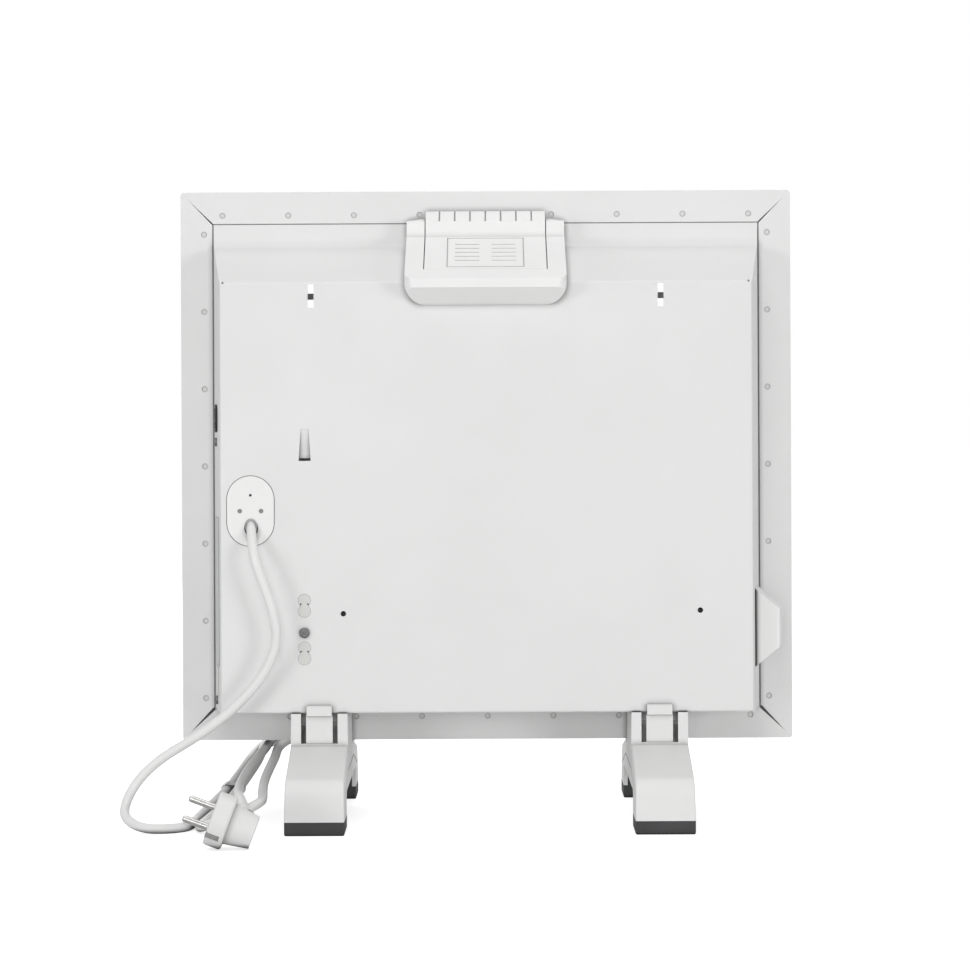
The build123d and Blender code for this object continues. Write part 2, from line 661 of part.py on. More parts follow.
def make_leg_shell(leg_x, name):
    half = LEG_FOOT_WIDTH / 2
    neck_half = LEG_NECK_WIDTH / 2
    with BuildPart() as shell:
        with BuildSketch(Plane.YZ.offset(leg_x - half)) as outline:
            with BuildLine():
                Polyline(*leg_outline(0, PAD_HEIGHT), close=True)
            make_face()
            fillet(outline.vertices().filter_by(is_shoulder), LEG_SHOULDER_RADIUS)
        extrude(amount=LEG_FOOT_WIDTH)
        with BuildSketch(Plane.XZ):
            with BuildLine():
                Polyline(
                    (leg_x - half, 0),
                    (leg_x + half, 0),
                    (leg_x + neck_half, CASING_FLOOR),
                    (leg_x - neck_half, CASING_FLOOR),
                    close=True,
                )
            make_face()
        extrude(amount=LEG_TIP, both=True, mode=Mode.INTERSECT)
        rims = shell.edges().filter_by(
            lambda e: abs(e.center().X - leg_x) > neck_half - 1
            and PAD_HEIGHT + 1 < e.center().Z < LATCH_ROOT
        )
        fillet(rims, LEG_EDGE)

        # Arch between the two feet, open through the leg
        with BuildSketch(Plane.YZ.offset(leg_x - half)) as arch:
            with Locations((0, LEG_ARCH_TOP / 2)):
                Rectangle(2 * LEG_ARCH_HALF, LEG_ARCH_TOP)
            fillet(arch.vertices().group_by(Axis.Y)[-1], LEG_ARCH_RADIUS)
        extrude(amount=LEG_FOOT_WIDTH, mode=Mode.SUBTRACT)

        # Hollow inside, open downwards
        with BuildSketch(Plane.YZ.offset(leg_x - neck_half + LEG_WALL)) as hollow:
            with BuildLine():
                Polyline(*leg_outline(LEG_WALL, PAD_HEIGHT), close=True)
            make_face()
            fillet(hollow.vertices().filter_by(is_shoulder), LEG_SHOULDER_RADIUS - LEG_WALL)
        extrude(amount=LEG_NECK_WIDTH - 2 * LEG_WALL, mode=Mode.SUBTRACT)

        # Window for the latch tongue
        with BuildSketch(Plane.XY.offset(LATCH_ROOT)):
            with Locations((leg_x, (LATCH_POCKET + LEG_TIP) / 2)):
                Rectangle(2 * (LATCH_HALF + LATCH_SLOT), LEG_TIP - LATCH_POCKET)
        extrude(amount=CASING_FLOOR - LATCH_ROOT, mode=Mode.SUBTRACT)

        # Grooves in both sides
        for side in (1, -1):
            with BuildSketch(Plane.YZ.offset(leg_x + side * (neck_half - LEG_GROOVE_DEPTH))):
                with BuildLine():
                    Polyline(*leg_groove())
                trace(line_width=LEG_GROOVE_WIDTH)
            extrude(amount=side * LEG_WALL, mode=Mode.SUBTRACT)

        # Pegs that stand up through the casing floor
        peg_bottom = CASING_BASE_BOTTOM - LEG_ROOF
        with BuildSketch(Plane.XY.offset(peg_bottom)):
            with Locations((leg_x, LEG_PEG_FRONT), (leg_x, LEG_PEG_REAR)):
                Rectangle(LEG_PEG_WIDTH, LEG_PEG_THICK)
        extrude(amount=LEG_ROOF + LEG_PEG_RISE)
        chamfer(shell.faces().filter_by(Axis.Z).group_by(Axis.Z)[-1].edges(), 1.0)
    return write(shell.part, name)


def make_foot_pad(leg_x, side, name):
    """Rubber pad under one foot, with a plug that fills the foot's hollow."""
    middle = side * (LEG_TIP + LEG_ARCH_HALF) / 2
    length = LEG_TIP - LEG_ARCH_HALF
    plug_width = LEG_NECK_WIDTH - 2 * LEG_WALL - 2 * RUN_GAP
    with BuildPart() as pad:
        with BuildSketch():
            with Locations((leg_x, middle)):
                RectangleRounded(LEG_FOOT_WIDTH, length, PAD_EDGE)
        extrude(amount=PAD_HEIGHT)
        fillet(pad.faces().sort_by(Axis.Z)[0].edges(), PAD_EDGE)
        with BuildSketch(Plane.XY.offset(PAD_HEIGHT)):
            with Locations((leg_x, middle - side * PAD_PLUG_INSET / 2)):
                Rectangle(plug_width, length - PAD_PLUG_INSET - 2 * RUN_GAP)
        extrude(amount=PAD_PLUG_RISE)
    return write(pad.part, name)


def make_latch_tongue(leg_x, name):
    """Sprung tongue whose pad hooks over the casing's lower rear edge."""
    outer = LEG_REAR_NECK[0] - LATCH_RECESS
    with BuildPart() as tongue:
        with BuildSketch(Plane.YZ.offset(leg_x - LATCH_HALF)):
            with BuildLine():
                Polyline(
                    (outer, LATCH_ROOT + HAIRLINE),
                    (outer, LATCH_SEAM),
                    (outer - LATCH_THICK, LATCH_SEAM),
                    (outer - LATCH_THICK, LATCH_ROOT + HAIRLINE),
                    close=True,
                )
            make_face()
        extrude(amount=2 * LATCH_HALF)
        with BuildSketch(Plane.YZ.offset(leg_x - LATCH_PAD_HALF)):
            with BuildLine():
                Polyline(
                    (CASING_REAR + RUN_GAP, LATCH_SEAM - LATCH_THICK / 2),
                    (CASING_REAR + RUN_GAP + LATCH_PAD_THICK, LATCH_SEAM),
                    (CASING_REAR + RUN_GAP + LATCH_PAD_THICK, LATCH_TOP - LATCH_THICK / 2),
                    (CASING_REAR + RUN_GAP + LATCH_PAD_THICK / 2, LATCH_TOP),
                    (CASING_REAR + RUN_GAP, LATCH_TOP),
                    close=True,
                )
            make_face()
        extrude(amount=2 * LATCH_PAD_HALF)
    return write(tongue.part, name)


for leg_side, leg_x in zip(("right", "left"), LEG_XS):
    make_leg_shell(leg_x, "leg_shell_" + leg_side)
    make_foot_pad(leg_x, 1, "foot_pad_rear_" + leg_side)
    make_foot_pad(leg_x, -1, "foot_pad_front_" + leg_side)
    make_latch_tongue(leg_x, "latch_tongue_" + leg_side)

UNIT_REST_Y = CASING_REAR + RUN_GAP
UNIT_FRONT_Y = FLANGE_REAR + COVE_SETBACK + RUN_GAP
UNIT_LEAN = math.atan2(UNIT_BAND_FOOT[1] - UNIT_NOSE_TOP[1], UNIT_NOSE_TOP[0] - UNIT_BAND_FOOT[0])
TAB_ROOT_Y = UNIT_BAND_FOOT[0] + (UNIT_BAND_FOOT[1] - TAB_ROOT_Z) / math.tan(UNIT_LEAN)
COVE_FOOT_Y = FLANGE_REAR + COVE_SETBACK + COVE_RADIUS
NECK_FRONT = PANEL_FRONT - FASCIA_PROUD + 2 * FASCIA_THICK
NECK_Z = (NECK_TOP + NECK_BOTTOM) / 2
NECK_REACH = UNIT_BAND_FOOT[0] + 2 * UNIT_CORNER - NECK_FRONT


def under_face(depth, y, z):
    """Point that lies the given depth under the unit's sloping face."""
    return (y - depth * math.sin(UNIT_LEAN), z - depth * math.cos(UNIT_LEAN))


def unit_block(inset):
    """Wedge of the control unit, or with an inset the hollow inside it."""
    with BuildPart() as block:
        with BuildSketch(Plane.YZ.offset(inset - UNIT_HALF)):
            with BuildLine():
                Polyline(
                    (UNIT_FRONT_Y, UNIT_SHOULDER_TOP),
                    UNIT_BAND_TOP,
                    UNIT_BAND_FOOT,
                    UNIT_NOSE_TOP,
                    UNIT_NOSE_FOOT,
                    (UNIT_REST_Y, UNIT_LIP_Z),
                    (UNIT_REST_Y, CASING_TOP + RUN_GAP),
                    (COVE_FOOT_Y, cove_z(COVE_FOOT_Y) + RUN_GAP),
                    (UNIT_FRONT_Y, COVE_Z + COVE_RADIUS),
                    close=True,
                )
            make_face()
            if inset:
                offset(amount=-inset, kind=Kind.INTERSECTION)
        extrude(amount=2 * (UNIT_HALF - inset))
        with BuildSketch(Plane.XZ) as rear_view:
            with BuildLine():
                Polyline(
                    (-UNIT_HALF, UNIT_LIP_Z),
                    (UNIT_HALF, UNIT_LIP_Z),
                    (UNIT_HALF, UNIT_SHOULDER_TOP - UNIT_SHOULDER_DROP),
                    (TAB_HALF, UNIT_SHOULDER_TOP),
                    (-TAB_HALF, UNIT_SHOULDER_TOP),
                    (-UNIT_HALF, UNIT_SHOULDER_TOP - UNIT_SHOULDER_DROP),
                    close=True,
                )
            make_face()
            fillet(rear_view.vertices().group_by(Axis.Y)[0], UNIT_CORNER)
            if inset:
                offset(amount=-inset, kind=Kind.INTERSECTION)
        extrude(amount=PANEL_HALF, both=True, mode=Mode.INTERSECT)
        with BuildSketch(Plane.XY) as plan:
            with Locations((0, UNIT_NOSE_FOOT[0] - UNIT_HALF)):
                Rectangle(2 * UNIT_HALF, 2 * UNIT_HALF)
            fillet(plan.vertices().group_by(Axis.Y)[-1], UNIT_PLAN_CORNER)
            if inset:
                offset(amount=-inset, kind=Kind.INTERSECTION)
        extrude(amount=PANEL_TOP, mode=Mode.INTERSECT)
    return block.part


# Control unit housing: wedge over the casing's slope and a neck through to the front
with BuildPart() as control_housing:
    add(unit_block(0))
    with BuildSketch(Plane.XZ.offset(-NECK_FRONT)):
        with Locations((0, NECK_Z)):
            Rectangle(2 * NECK_HALF, NECK_TOP - NECK_BOTTOM)
    extrude(amount=-NECK_REACH)
    add(unit_block(UNIT_WALL), mode=Mode.SUBTRACT)
    with BuildSketch(Plane.XZ.offset(-NECK_FRONT)):
        with Locations((0, NECK_Z)):
            Rectangle(2 * (NECK_HALF - UNIT_WALL), NECK_TOP - NECK_BOTTOM - 2 * UNIT_WALL)
    extrude(amount=-NECK_REACH, mode=Mode.SUBTRACT)

    # Window that the release tab moves in
    with BuildSketch(Plane.YZ.offset(-TAB_HALF - TAB_GAP)):
        with BuildLine():
            Polyline(
                under_face(UNIT_WALL * 1.5, TAB_ROOT_Y, TAB_ROOT_Z),
                under_face(UNIT_WALL * 1.5, *UNIT_BAND_FOOT),
                (FLANGE_REAR, UNIT_BAND_FOOT[1] + TAB_TRAVEL_ROOM),
                (FLANGE_REAR, PANEL_TOP),
                under_face(-UNIT_CORNER, TAB_ROOT_Y, TAB_ROOT_Z),
                close=True,
            )
        make_face()
    extrude(amount=2 * (TAB_HALF + TAB_GAP), mode=Mode.SUBTRACT)
write(control_housing.part, "control_housing")

# Release tab: bent strip with grooves in its thumb rest
with BuildPart() as release_tab:
    with BuildSketch(Plane.YZ.offset(-TAB_HALF)):
        with BuildLine():
            strip = Polyline(
                TAB_TOP,
                UNIT_BAND_TOP,
                UNIT_BAND_FOOT,
                (TAB_ROOT_Y - HAIRLINE, TAB_ROOT_Z + HAIRLINE * math.tan(UNIT_LEAN)),
            )
            offset(strip, amount=TAB_THICK, side=Side.RIGHT, kind=Kind.INTERSECTION)
        make_face()
    extrude(amount=2 * TAB_HALF)

    # Grooves across the thumb rest
    rest_drop = TAB_TOP[1] - UNIT_BAND_TOP[1]
    rest_run = UNIT_BAND_TOP[0] - TAB_TOP[0]
    rest_length = math.hypot(rest_drop, rest_run)
    rest_plane = Plane(
        origin=(0, (TAB_TOP[0] + UNIT_BAND_TOP[0]) / 2, (TAB_TOP[1] + UNIT_BAND_TOP[1]) / 2),
        x_dir=(1, 0, 0),
        z_dir=(0, rest_drop, rest_run),
    )
    with BuildSketch(rest_plane):
        with GridLocations(TAB_GROOVE_PITCH, rest_length, TAB_GROOVES, 1):
            Rectangle(TAB_GROOVE_WIDTH, rest_length)
    extrude(amount=-TAB_GROOVE_DEPTH, mode=Mode.SUBTRACT)

    # Frame and plain grip lines cut into the sloping face
    face_length = (TAB_ROOT_Y - UNIT_BAND_FOOT[0]) / math.cos(UNIT_LEAN)
    face_plane = Plane(
        origin=(0, (TAB_ROOT_Y + UNIT_BAND_FOOT[0]) / 2, (TAB_ROOT_Z + UNIT_BAND_FOOT[1]) / 2),
        x_dir=(1, 0, 0),
        z_dir=(0, math.sin(UNIT_LEAN), math.cos(UNIT_LEAN)),
    )
    with BuildSketch(face_plane):
        Rectangle(FRAME_WIDTH, face_length - 2 * FRAME_INSET)
        Rectangle(
            FRAME_WIDTH - 2 * FRAME_LINE,
            face_length - 2 * (FRAME_INSET + FRAME_LINE),
            mode=Mode.SUBTRACT,
        )
        with GridLocations(GRIP_PITCH_X, GRIP_PITCH_Y, 2, GRIP_LINES):
            Rectangle(GRIP_LENGTH, FRAME_LINE)
    extrude(amount=-LINE_DEPTH, mode=Mode.SUBTRACT)
write(release_tab.part, "release_tab")

# Fascia: front plate with the display recess and the button holes
FASCIA_FRONT = PANEL_FRONT - FASCIA_PROUD
FASCIA_REAR = FASCIA_FRONT + FASCIA_THICK
BUTTON_SPOTS = [(x, FASCIA_Z) for x in BUTTON_XS]
with BuildPart() as control_fascia:
    with BuildSketch(Plane.XZ.offset(-FASCIA_FRONT)):
        with Locations((0, FASCIA_Z)):
            RectangleRounded(FASCIA_WIDTH, FASCIA_HEIGHT, FASCIA_CORNER - RUN_GAP)
    extrude(amount=-FASCIA_THICK)
    chamfer(control_fascia.faces().sort_by(Axis.Y)[0].edges(), FASCIA_PROUD)
    with BuildSketch(Plane.XZ.offset(-FASCIA_REAR)):
        with Locations((0, NECK_Z)):
            Rectangle(2 * NECK_HALF, NECK_TOP - NECK_BOTTOM)
            Rectangle(
                2 * (NECK_HALF - UNIT_WALL),
                NECK_TOP - NECK_BOTTOM - 2 * UNIT_WALL,
                mode=Mode.SUBTRACT,
            )
    extrude(amount=-FASCIA_THICK)
    with BuildSketch(Plane.XZ.offset(-FASCIA_FRONT)):
        with Locations((DISPLAY_X, FASCIA_Z)):
            Rectangle(DISPLAY_WIDTH + 2 * SNUG_GAP, DISPLAY_HEIGHT + 2 * SNUG_GAP)
    extrude(amount=-DISPLAY_THICK, mode=Mode.SUBTRACT)
    with BuildSketch(Plane.XZ.offset(-FASCIA_FRONT)):
        with Locations(*BUTTON_SPOTS):
            Circle(BUTTON_RADIUS + SNUG_GAP)
    extrude(amount=-FASCIA_THICK, mode=Mode.SUBTRACT)
write(control_fascia.part, "control_fascia")

with BuildPart() as display_window:
    with BuildSketch(Plane.XZ.offset(-FASCIA_FRONT)):
        with Locations((DISPLAY_X, FASCIA_Z)):
            RectangleRounded(DISPLAY_WIDTH, DISPLAY_HEIGHT, SNUG_GAP * 2)
    extrude(amount=-DISPLAY_THICK)
write(display_window.part, "display_window")


def make_button(x, name):
    """Push button with a flange that keeps it behind the fascia."""
    with BuildPart() as button:
        with BuildSketch(Plane.XZ.offset(-FASCIA_FRONT + BUTTON_PROUD)):
            with Locations((x, FASCIA_Z)):
                Circle(BUTTON_RADIUS)
        extrude(amount=-BUTTON_PROUD - FASCIA_THICK - SEAT_GAP)
        fillet(button.faces().sort_by(Axis.Y)[0].edges(), BUTTON_PROUD / 2)
        with BuildSketch(Plane.XZ.offset(-FASCIA_REAR - SEAT_GAP)):
            with Locations((x, FASCIA_Z)):
                Circle(BUTTON_FLANGE)
        extrude(amount=-BUTTON_TRAVEL)
    return write(button.part, name)


BUTTON_NAMES = ("button_power", "button_mode", "button_minus", "button_plus")
for button_x, button_name in zip(BUTTON_XS, BUTTON_NAMES):
    make_button(button_x, button_name)

# Circuit board inside the neck, standing behind the buttons
BOARD_FRONT = FASCIA_REAR + SEAT_GAP + 2 * BUTTON_TRAVEL + SNUG_GAP
with BuildPart() as control_board:
    with BuildSketch(Plane.XZ.offset(-BOARD_FRONT)):
        with Locations((0, NECK_Z)):
            Rectangle(
                2 * (NECK_HALF - UNIT_WALL - SNUG_GAP),
                NECK_TOP - NECK_BOTTOM - 2 * UNIT_WALL - 2 * SNUG_GAP,
            )
    extrude(amount=-BOARD_THICK)
write(control_board.part, "control_board")

# Plug block under the neck with three pins, and the socket it pushes into
PIN_Z = (SOCKET_TOP + PLUG_BOTTOM) / 2
PIN_SPOTS = [(n * PLUG_PIN_PITCH, PIN_Z) for n in (-1, 0, 1)]
with BuildPart() as control_plug:
    with BuildSketch(Plane.XZ.offset(-PLUG_FRONT)):
        with Locations((0, (NECK_BOTTOM + PLUG_BOTTOM) / 2)):
            Rectangle(2 * PLUG_HALF, NECK_BOTTOM - PLUG_BOTTOM)
    extrude(amount=PLUG_FRONT - PLUG_REAR)
write(control_plug.part, "control_plug")

with BuildPart() as control_pins:
    with BuildSketch(Plane.XZ.offset(-PLUG_FRONT)):
        with Locations(*PIN_SPOTS):
            Circle(PLUG_PIN_RADIUS)
    extrude(amount=PLUG_PIN_LENGTH)
    chamfer(control_pins.faces().sort_by(Axis.Y)[0:3].edges(), PLUG_PIN_RADIUS / 3)
write(control_pins.part, "control_pins")

SOCKET_REAR = PLUG_FRONT - RUN_GAP
with BuildPart() as control_socket:
    with BuildSketch(Plane.XZ.offset(-PANEL_INNER)):
        with Locations((0, (SOCKET_TOP + SOCKET_BOTTOM) / 2)):
            Rectangle(2 * PLUG_HALF, SOCKET_TOP - SOCKET_BOTTOM)
    extrude(amount=PANEL_INNER - SOCKET_REAR)
    with BuildSketch(Plane.XZ.offset(-SOCKET_REAR)):
        with Locations(*PIN_SPOTS):
            Circle(PLUG_PIN_RADIUS + PIN_FIT)
    extrude(amount=PLUG_PIN_LENGTH, mode=Mode.SUBTRACT)
write(control_socket.part, "control_socket")


def cross_screw(name, places, head, shank, length):
    """Pan-head cross screws; each place is a plane whose z axis leaves the head."""
    with BuildPart() as screws:
        for place in places:
            with BuildSketch(place):
                Circle(head)
            extrude(amount=SCREW_HEAD_RISE)
            with BuildSketch(place):
                Circle(shank)
            extrude(amount=-length)
            with BuildSketch(place.offset(SCREW_HEAD_RISE)):
                Rectangle(CROSS_LENGTH, CROSS_WIDTH)
                Rectangle(CROSS_WIDTH, CROSS_LENGTH)
            extrude(amount=-CROSS_DEPTH, mode=Mode.SUBTRACT)
        crowns = screws.edges().filter_by(GeomType.CIRCLE).filter_by(
            lambda e: abs(e.radius - head) < CROSS_WIDTH / 10
        )
        outer = [e for e in crowns if min(abs(p.to_local_coords(e.center()).Z) for p in places) > 1]
        fillet(outer, SCREW_HEAD_RISE / 2)
    return write(screws.part, name)


# Mains switch: bezel in the side wall and the rocker in it
switch_plane = side_plane(1, SWITCH_Y, SWITCH_Z)
with BuildPart() as switch_bezel:
    with BuildSketch(switch_plane):
        SlotOverall(SWITCH_HEIGHT, SWITCH_WIDTH)
    extrude(amount=BEZEL_THICK)
    chamfer(switch_bezel.faces().sort_by(Axis.X)[-1].edges(), BEZEL_THICK / 3)
    with BuildSketch(switch_plane):
        SlotOverall(
            SWITCH_HEIGHT - 2 * SWITCH_FLANGE - 2 * SNUG_GAP,
            SWITCH_WIDTH - 2 * SWITCH_FLANGE - 2 * SNUG_GAP,
        )
    extrude(amount=-BEZEL_DEPTH)
    with BuildSketch(switch_plane.offset(BEZEL_THICK)):
        Rectangle(2 * (ROCKER_RADIUS + ROCKER_GAP), SWITCH_WIDTH - 4 * SWITCH_FLANGE)
    extrude(amount=-BEZEL_THICK - ROCKER_DEPTH - 2 * ROCKER_GAP, mode=Mode.SUBTRACT)
    pivot_plane = Plane(
        switch_plane.offset(-ROCKER_DEPTH / 2).origin,
        x_dir=(0, 0, 1),
        z_dir=-switch_plane.y_dir,
    )
    with BuildSketch(pivot_plane):
        Circle(TRUNNION_RADIUS + PIN_FIT)
    extrude(amount=ROCKER_HALF + TRUNNION_LENGTH + SNUG_GAP, both=True, mode=Mode.SUBTRACT)
write(switch_bezel.part, "switch_bezel")

# Rocker on two trunnions, shown pressed on at its upper end
with BuildPart() as mains_rocker:
    with BuildSketch(pivot_plane):
        face = ROCKER_DEPTH / 2 + BEZEL_THICK - ROCKER_GAP
        with BuildLine():
            Polyline(
                (-ROCKER_RADIUS, -ROCKER_DEPTH / 4),
                (ROCKER_RADIUS, -ROCKER_DEPTH / 4),
                (ROCKER_RADIUS, face),
                (0, face),
                (-ROCKER_RADIUS, face + ROCKER_RADIUS * math.tan(math.radians(ROCKER_TILT))),
                close=True,
            )
        make_face()
        Circle(ROCKER_RADIUS, mode=Mode.INTERSECT)
    extrude(amount=ROCKER_HALF, both=True)
    with BuildSketch(pivot_plane):
        Circle(TRUNNION_RADIUS)
    extrude(amount=ROCKER_HALF + TRUNNION_LENGTH, both=True)
write(mains_rocker.part, "mains_rocker")

# Air sensor cover: hollow trapezoid on the side wall, open at its back
sensor_plane = side_plane(-1, SENSOR_Y, SENSOR_Z)


def sensor_block(inset):
    """Trapezoid cover outline, or with an inset the hollow under it."""
    section = Plane(sensor_plane.origin, x_dir=(0, 0, 1), z_dir=sensor_plane.y_dir)
    rise = sensor_plane.z_dir.dot(section.y_dir) * (SENSOR_STAND - inset)
    with BuildPart() as block:
        with BuildSketch(section):
            with BuildLine():
                Polyline(
                    (-SENSOR_BASE_HALF + inset, 0),
                    (SENSOR_BASE_HALF - inset, 0),
                    (SENSOR_FACE_HALF - inset / 2, rise),
                    (inset / 2 - SENSOR_FACE_HALF, rise),
                    close=True,
                )
            make_face()
        extrude(amount=SENSOR_DEPTH / 2 - inset, both=True)
    return block


sensor_outer = sensor_block(0)
sensor_hollow = sensor_block(SENSOR_WALL)
with BuildPart() as sensor_cover:
    add(sensor_outer.part)
    fillet(sensor_cover.edges().filter_by(Axis.Z), SENSOR_EDGE)
    add(sensor_hollow.part, mode=Mode.SUBTRACT)
write(sensor_cover.part, "sensor_cover")

# Sensor bead on a short carrier that plugs the hole in the wall
with BuildPart() as sensor_bead:
    with BuildSketch(sensor_plane.offset(-2 * CASING_SHEET)):
        Circle(SENSOR_HOLE_RADIUS - SNUG_GAP)
    extrude(amount=3 * CASING_SHEET)
    with BuildSketch(sensor_plane):
        Circle(BEAD_RADIUS)
    extrude(amount=SENSOR_STAND / 2)
    fillet(sensor_bead.faces().sort_by(Axis.X)[0].edges(), BEAD_RADIUS * 0.9)
write(sensor_bead.part, "sensor_bead")


def side_label(name, width, height, y, z):
    """Blank label stuck to the right-hand side wall."""
    with BuildPart() as label:
        with BuildSketch(side_plane(1, y, z)):
            RectangleRounded(height, width, PLATE_THICK * 3)
        extrude(amount=PLATE_THICK)
    return write(label.part, name)


side_label("rating_plate", PLATE_WIDTH, PLATE_HEIGHT, PLATE_Y, PLATE_Z)
side_label("seal_sticker", SEAL_WIDTH, SEAL_HEIGHT, SEAL_Y, SEAL_Z)
side_places = [side_plane(1, y, z) for y, z in SIDE_SCREWS]
cross_screw("side_screws", side_places, SCREW_HEAD, SIDE_SCREW_HOLE - PIN_FIT, SCREW_SHANK)

# Cord plate in the rear wall, held from inside by its rim
rear_plane = Plane(origin=(CORD_X, CASING_REAR, CORD_Z), x_dir=(-1, 0, 0), z_dir=(0, 1, 0))
exit_plane = Plane(origin=CORD_START, z_dir=CORD_EXIT_WAY)
with BuildPart() as cord_plate:
    with BuildSketch(rear_plane.offset(CORD_PLATE_PROUD)):
        SlotOverall(CORD_PLATE_HEIGHT, CORD_PLATE_WIDTH, rotation=90)
    extrude(amount=-CORD_PLATE_PROUD - CORD_PLATE_THICK)
    chamfer(cord_plate.faces().sort_by(Axis.Y)[-1].edges(), CORD_PLATE_PROUD / 2)
    with BuildSketch(rear_plane.offset(-CASING_SHEET - SNUG_GAP)):
        SlotOverall(
            CORD_PLATE_HEIGHT + 2 * CORD_PLATE_RIM,
            CORD_PLATE_WIDTH + 2 * CORD_PLATE_RIM,
            rotation=90,
        )
    extrude(amount=-CORD_PLATE_RIM_THICK)
    with BuildSketch(rear_plane.offset(CORD_PLATE_PROUD)):
        with Locations((0, CORD_LAMP_Z)):
            Circle(LAMP_HOLE_RADIUS)
        with Locations((CORD_SCREW_X, 0), (-CORD_SCREW_X, 0)):
            Circle(CORD_SCREW_RADIUS + PIN_FIT)
    extrude(amount=-CORD_PLATE_THICK * 2, mode=Mode.SUBTRACT)
    with BuildSketch(exit_plane.offset(-SLEEVE_LENGTH)):
        Circle(SLEEVE_ROOT + SNUG_GAP)
    extrude(amount=2 * SLEEVE_LENGTH, mode=Mode.SUBTRACT)
write(cord_plate.part, "cord_plate")

with BuildPart() as cord_plate_screws:
    for side in (1, -1):
        with BuildSketch(rear_plane):
            with Locations((side * CORD_SCREW_X, 0)):
                Circle(CORD_SCREW_RADIUS)
        extrude(amount=-CORD_SCREW_LENGTH)
write(cord_plate_screws.part, "cord_plate_screws")

# Tip-over switch: base plate with two snap studs, and the switch body on it
with BuildPart() as tip_over_base:
    base_bottom = STUD_Z[1] - TIP_BASE_END
    base_top = STUD_Z[0] + TIP_BASE_END
    with BuildSketch(Plane.XZ.offset(-INNER_REAR + SNUG_GAP)):
        with Locations((STUD_X, (base_bottom + base_top) / 2)):
            RectangleRounded(TIP_BASE_WIDTH, base_top - base_bottom, TIP_BASE_THICK)
    extrude(amount=TIP_BASE_THICK)
    with BuildSketch(Plane.XZ.offset(-CASING_REAR)):
        for stud_z in STUD_Z:
            with Locations((STUD_X, stud_z)):
                figure_eight(STUD_RADIUS, STUD_SPREAD)
    extrude(amount=CASING_SHEET + TIP_BASE_THICK)
    with BuildSketch(Plane.XZ.offset(-CASING_REAR)):
        for stud_z in STUD_Z:
            for side in (1, -1):
                with Locations((STUD_X + side * NOTCH_X, stud_z + NOTCH_RISE)):
                    Rectangle(NOTCH_LENGTH, NOTCH_WIDTH, rotation=-side * NOTCH_TURN)
    extrude(amount=CASING_SHEET + 2 * TIP_BASE_THICK, mode=Mode.SUBTRACT)
    with BuildSketch(Plane.XZ.offset(-CASING_REAR)):
        with Locations((STUD_X, TIP_SCREW_Z)):
            Circle(TIP_SCREW_HOLE)
    extrude(amount=CASING_SHEET + 2 * TIP_BASE_THICK, mode=Mode.SUBTRACT)
write(tip_over_base.part, "tip_over_base")

TIP_BODY_REAR = INNER_REAR - SNUG_GAP - TIP_BASE_THICK
with BuildPart() as tip_over_switch:
    with BuildSketch(Plane.XZ.offset(-TIP_BODY_REAR)):
        with Locations((STUD_X, TIP_SCREW_Z)):
            Rectangle(TIP_BODY_WIDTH, TIP_BODY_HEIGHT)
    extrude(amount=TIP_BODY_DEPTH)
    chamfer(tip_over_switch.edges().filter_by(Axis.Y), TIP_BASE_THICK)
    with BuildSketch(Plane.XZ.offset(-TIP_BODY_REAR)):
        with Locations((STUD_X, TIP_SCREW_Z)):
            Circle(TIP_SCREW_HOLE)
    extrude(amount=TIP_BODY_DEPTH / 2, mode=Mode.SUBTRACT)
write(tip_over_switch.part, "tip_over_switch")
tip_place = Plane(origin=(STUD_X, CASING_REAR, TIP_SCREW_Z), x_dir=TIP_CROSS, z_dir=(0, 1, 0))
cross_screw("tip_over_screw", [tip_place], TIP_HEAD, TIP_SCREW_HOLE - PIN_FIT, TIP_BODY_DEPTH / 2)

# Heating element: one extruded aluminium star along X
with BuildPart() as heating_element:
    with BuildSketch(Plane.YZ.offset(ELEMENT_LEFT)):
        with Locations((ELEMENT_Y, ELEMENT_Z)):
            Circle(ELEMENT_HUB)
            with PolarLocations(ELEMENT_FIN_REACH / 2, ELEMENT_FINS, start_angle=18):
                Rectangle(ELEMENT_FIN_REACH, ELEMENT_FIN_THICK)
            Circle(BUSH_RADIUS, mode=Mode.SUBTRACT)
    extrude(amount=ELEMENT_RIGHT - ELEMENT_LEFT)
write(heating_element.part, "heating_element")

# Core rod, ceramic bushes and terminals of the element
with BuildPart() as element_core:
    with BuildSketch(Plane.YZ.offset(ELEMENT_LEFT + BUSH_LENGTH / 2)):
        with Locations((ELEMENT_Y, ELEMENT_Z)):
            Circle(BUSH_RADIUS)
    extrude(amount=ELEMENT_RIGHT - ELEMENT_LEFT - BUSH_LENGTH)
write(element_core.part, "element_core")

with BuildPart() as element_bushes:
    for end_x, away in ((ELEMENT_LEFT, -1), (ELEMENT_RIGHT, 1)):
        with BuildSketch(Plane.YZ.offset(end_x - away * BUSH_LENGTH / 2)):
            with Locations((ELEMENT_Y, ELEMENT_Z)):
                Circle(BUSH_RADIUS)
                Circle(TERMINAL_RADIUS, mode=Mode.SUBTRACT)
        extrude(amount=away * BUSH_LENGTH)
write(element_bushes.part, "element_bushes")

with BuildPart() as element_terminals:
    for end_x, away in ((ELEMENT_LEFT, -1), (ELEMENT_RIGHT, 1)):
        with BuildSketch(Plane.YZ.offset(end_x - away * BUSH_LENGTH / 2)):
            with Locations((ELEMENT_Y, ELEMENT_Z)):
                Circle(TERMINAL_RADIUS)
        extrude(amount=away * (BUSH_LENGTH + TERMINAL_LENGTH))
write(element_terminals.part, "element_terminals")


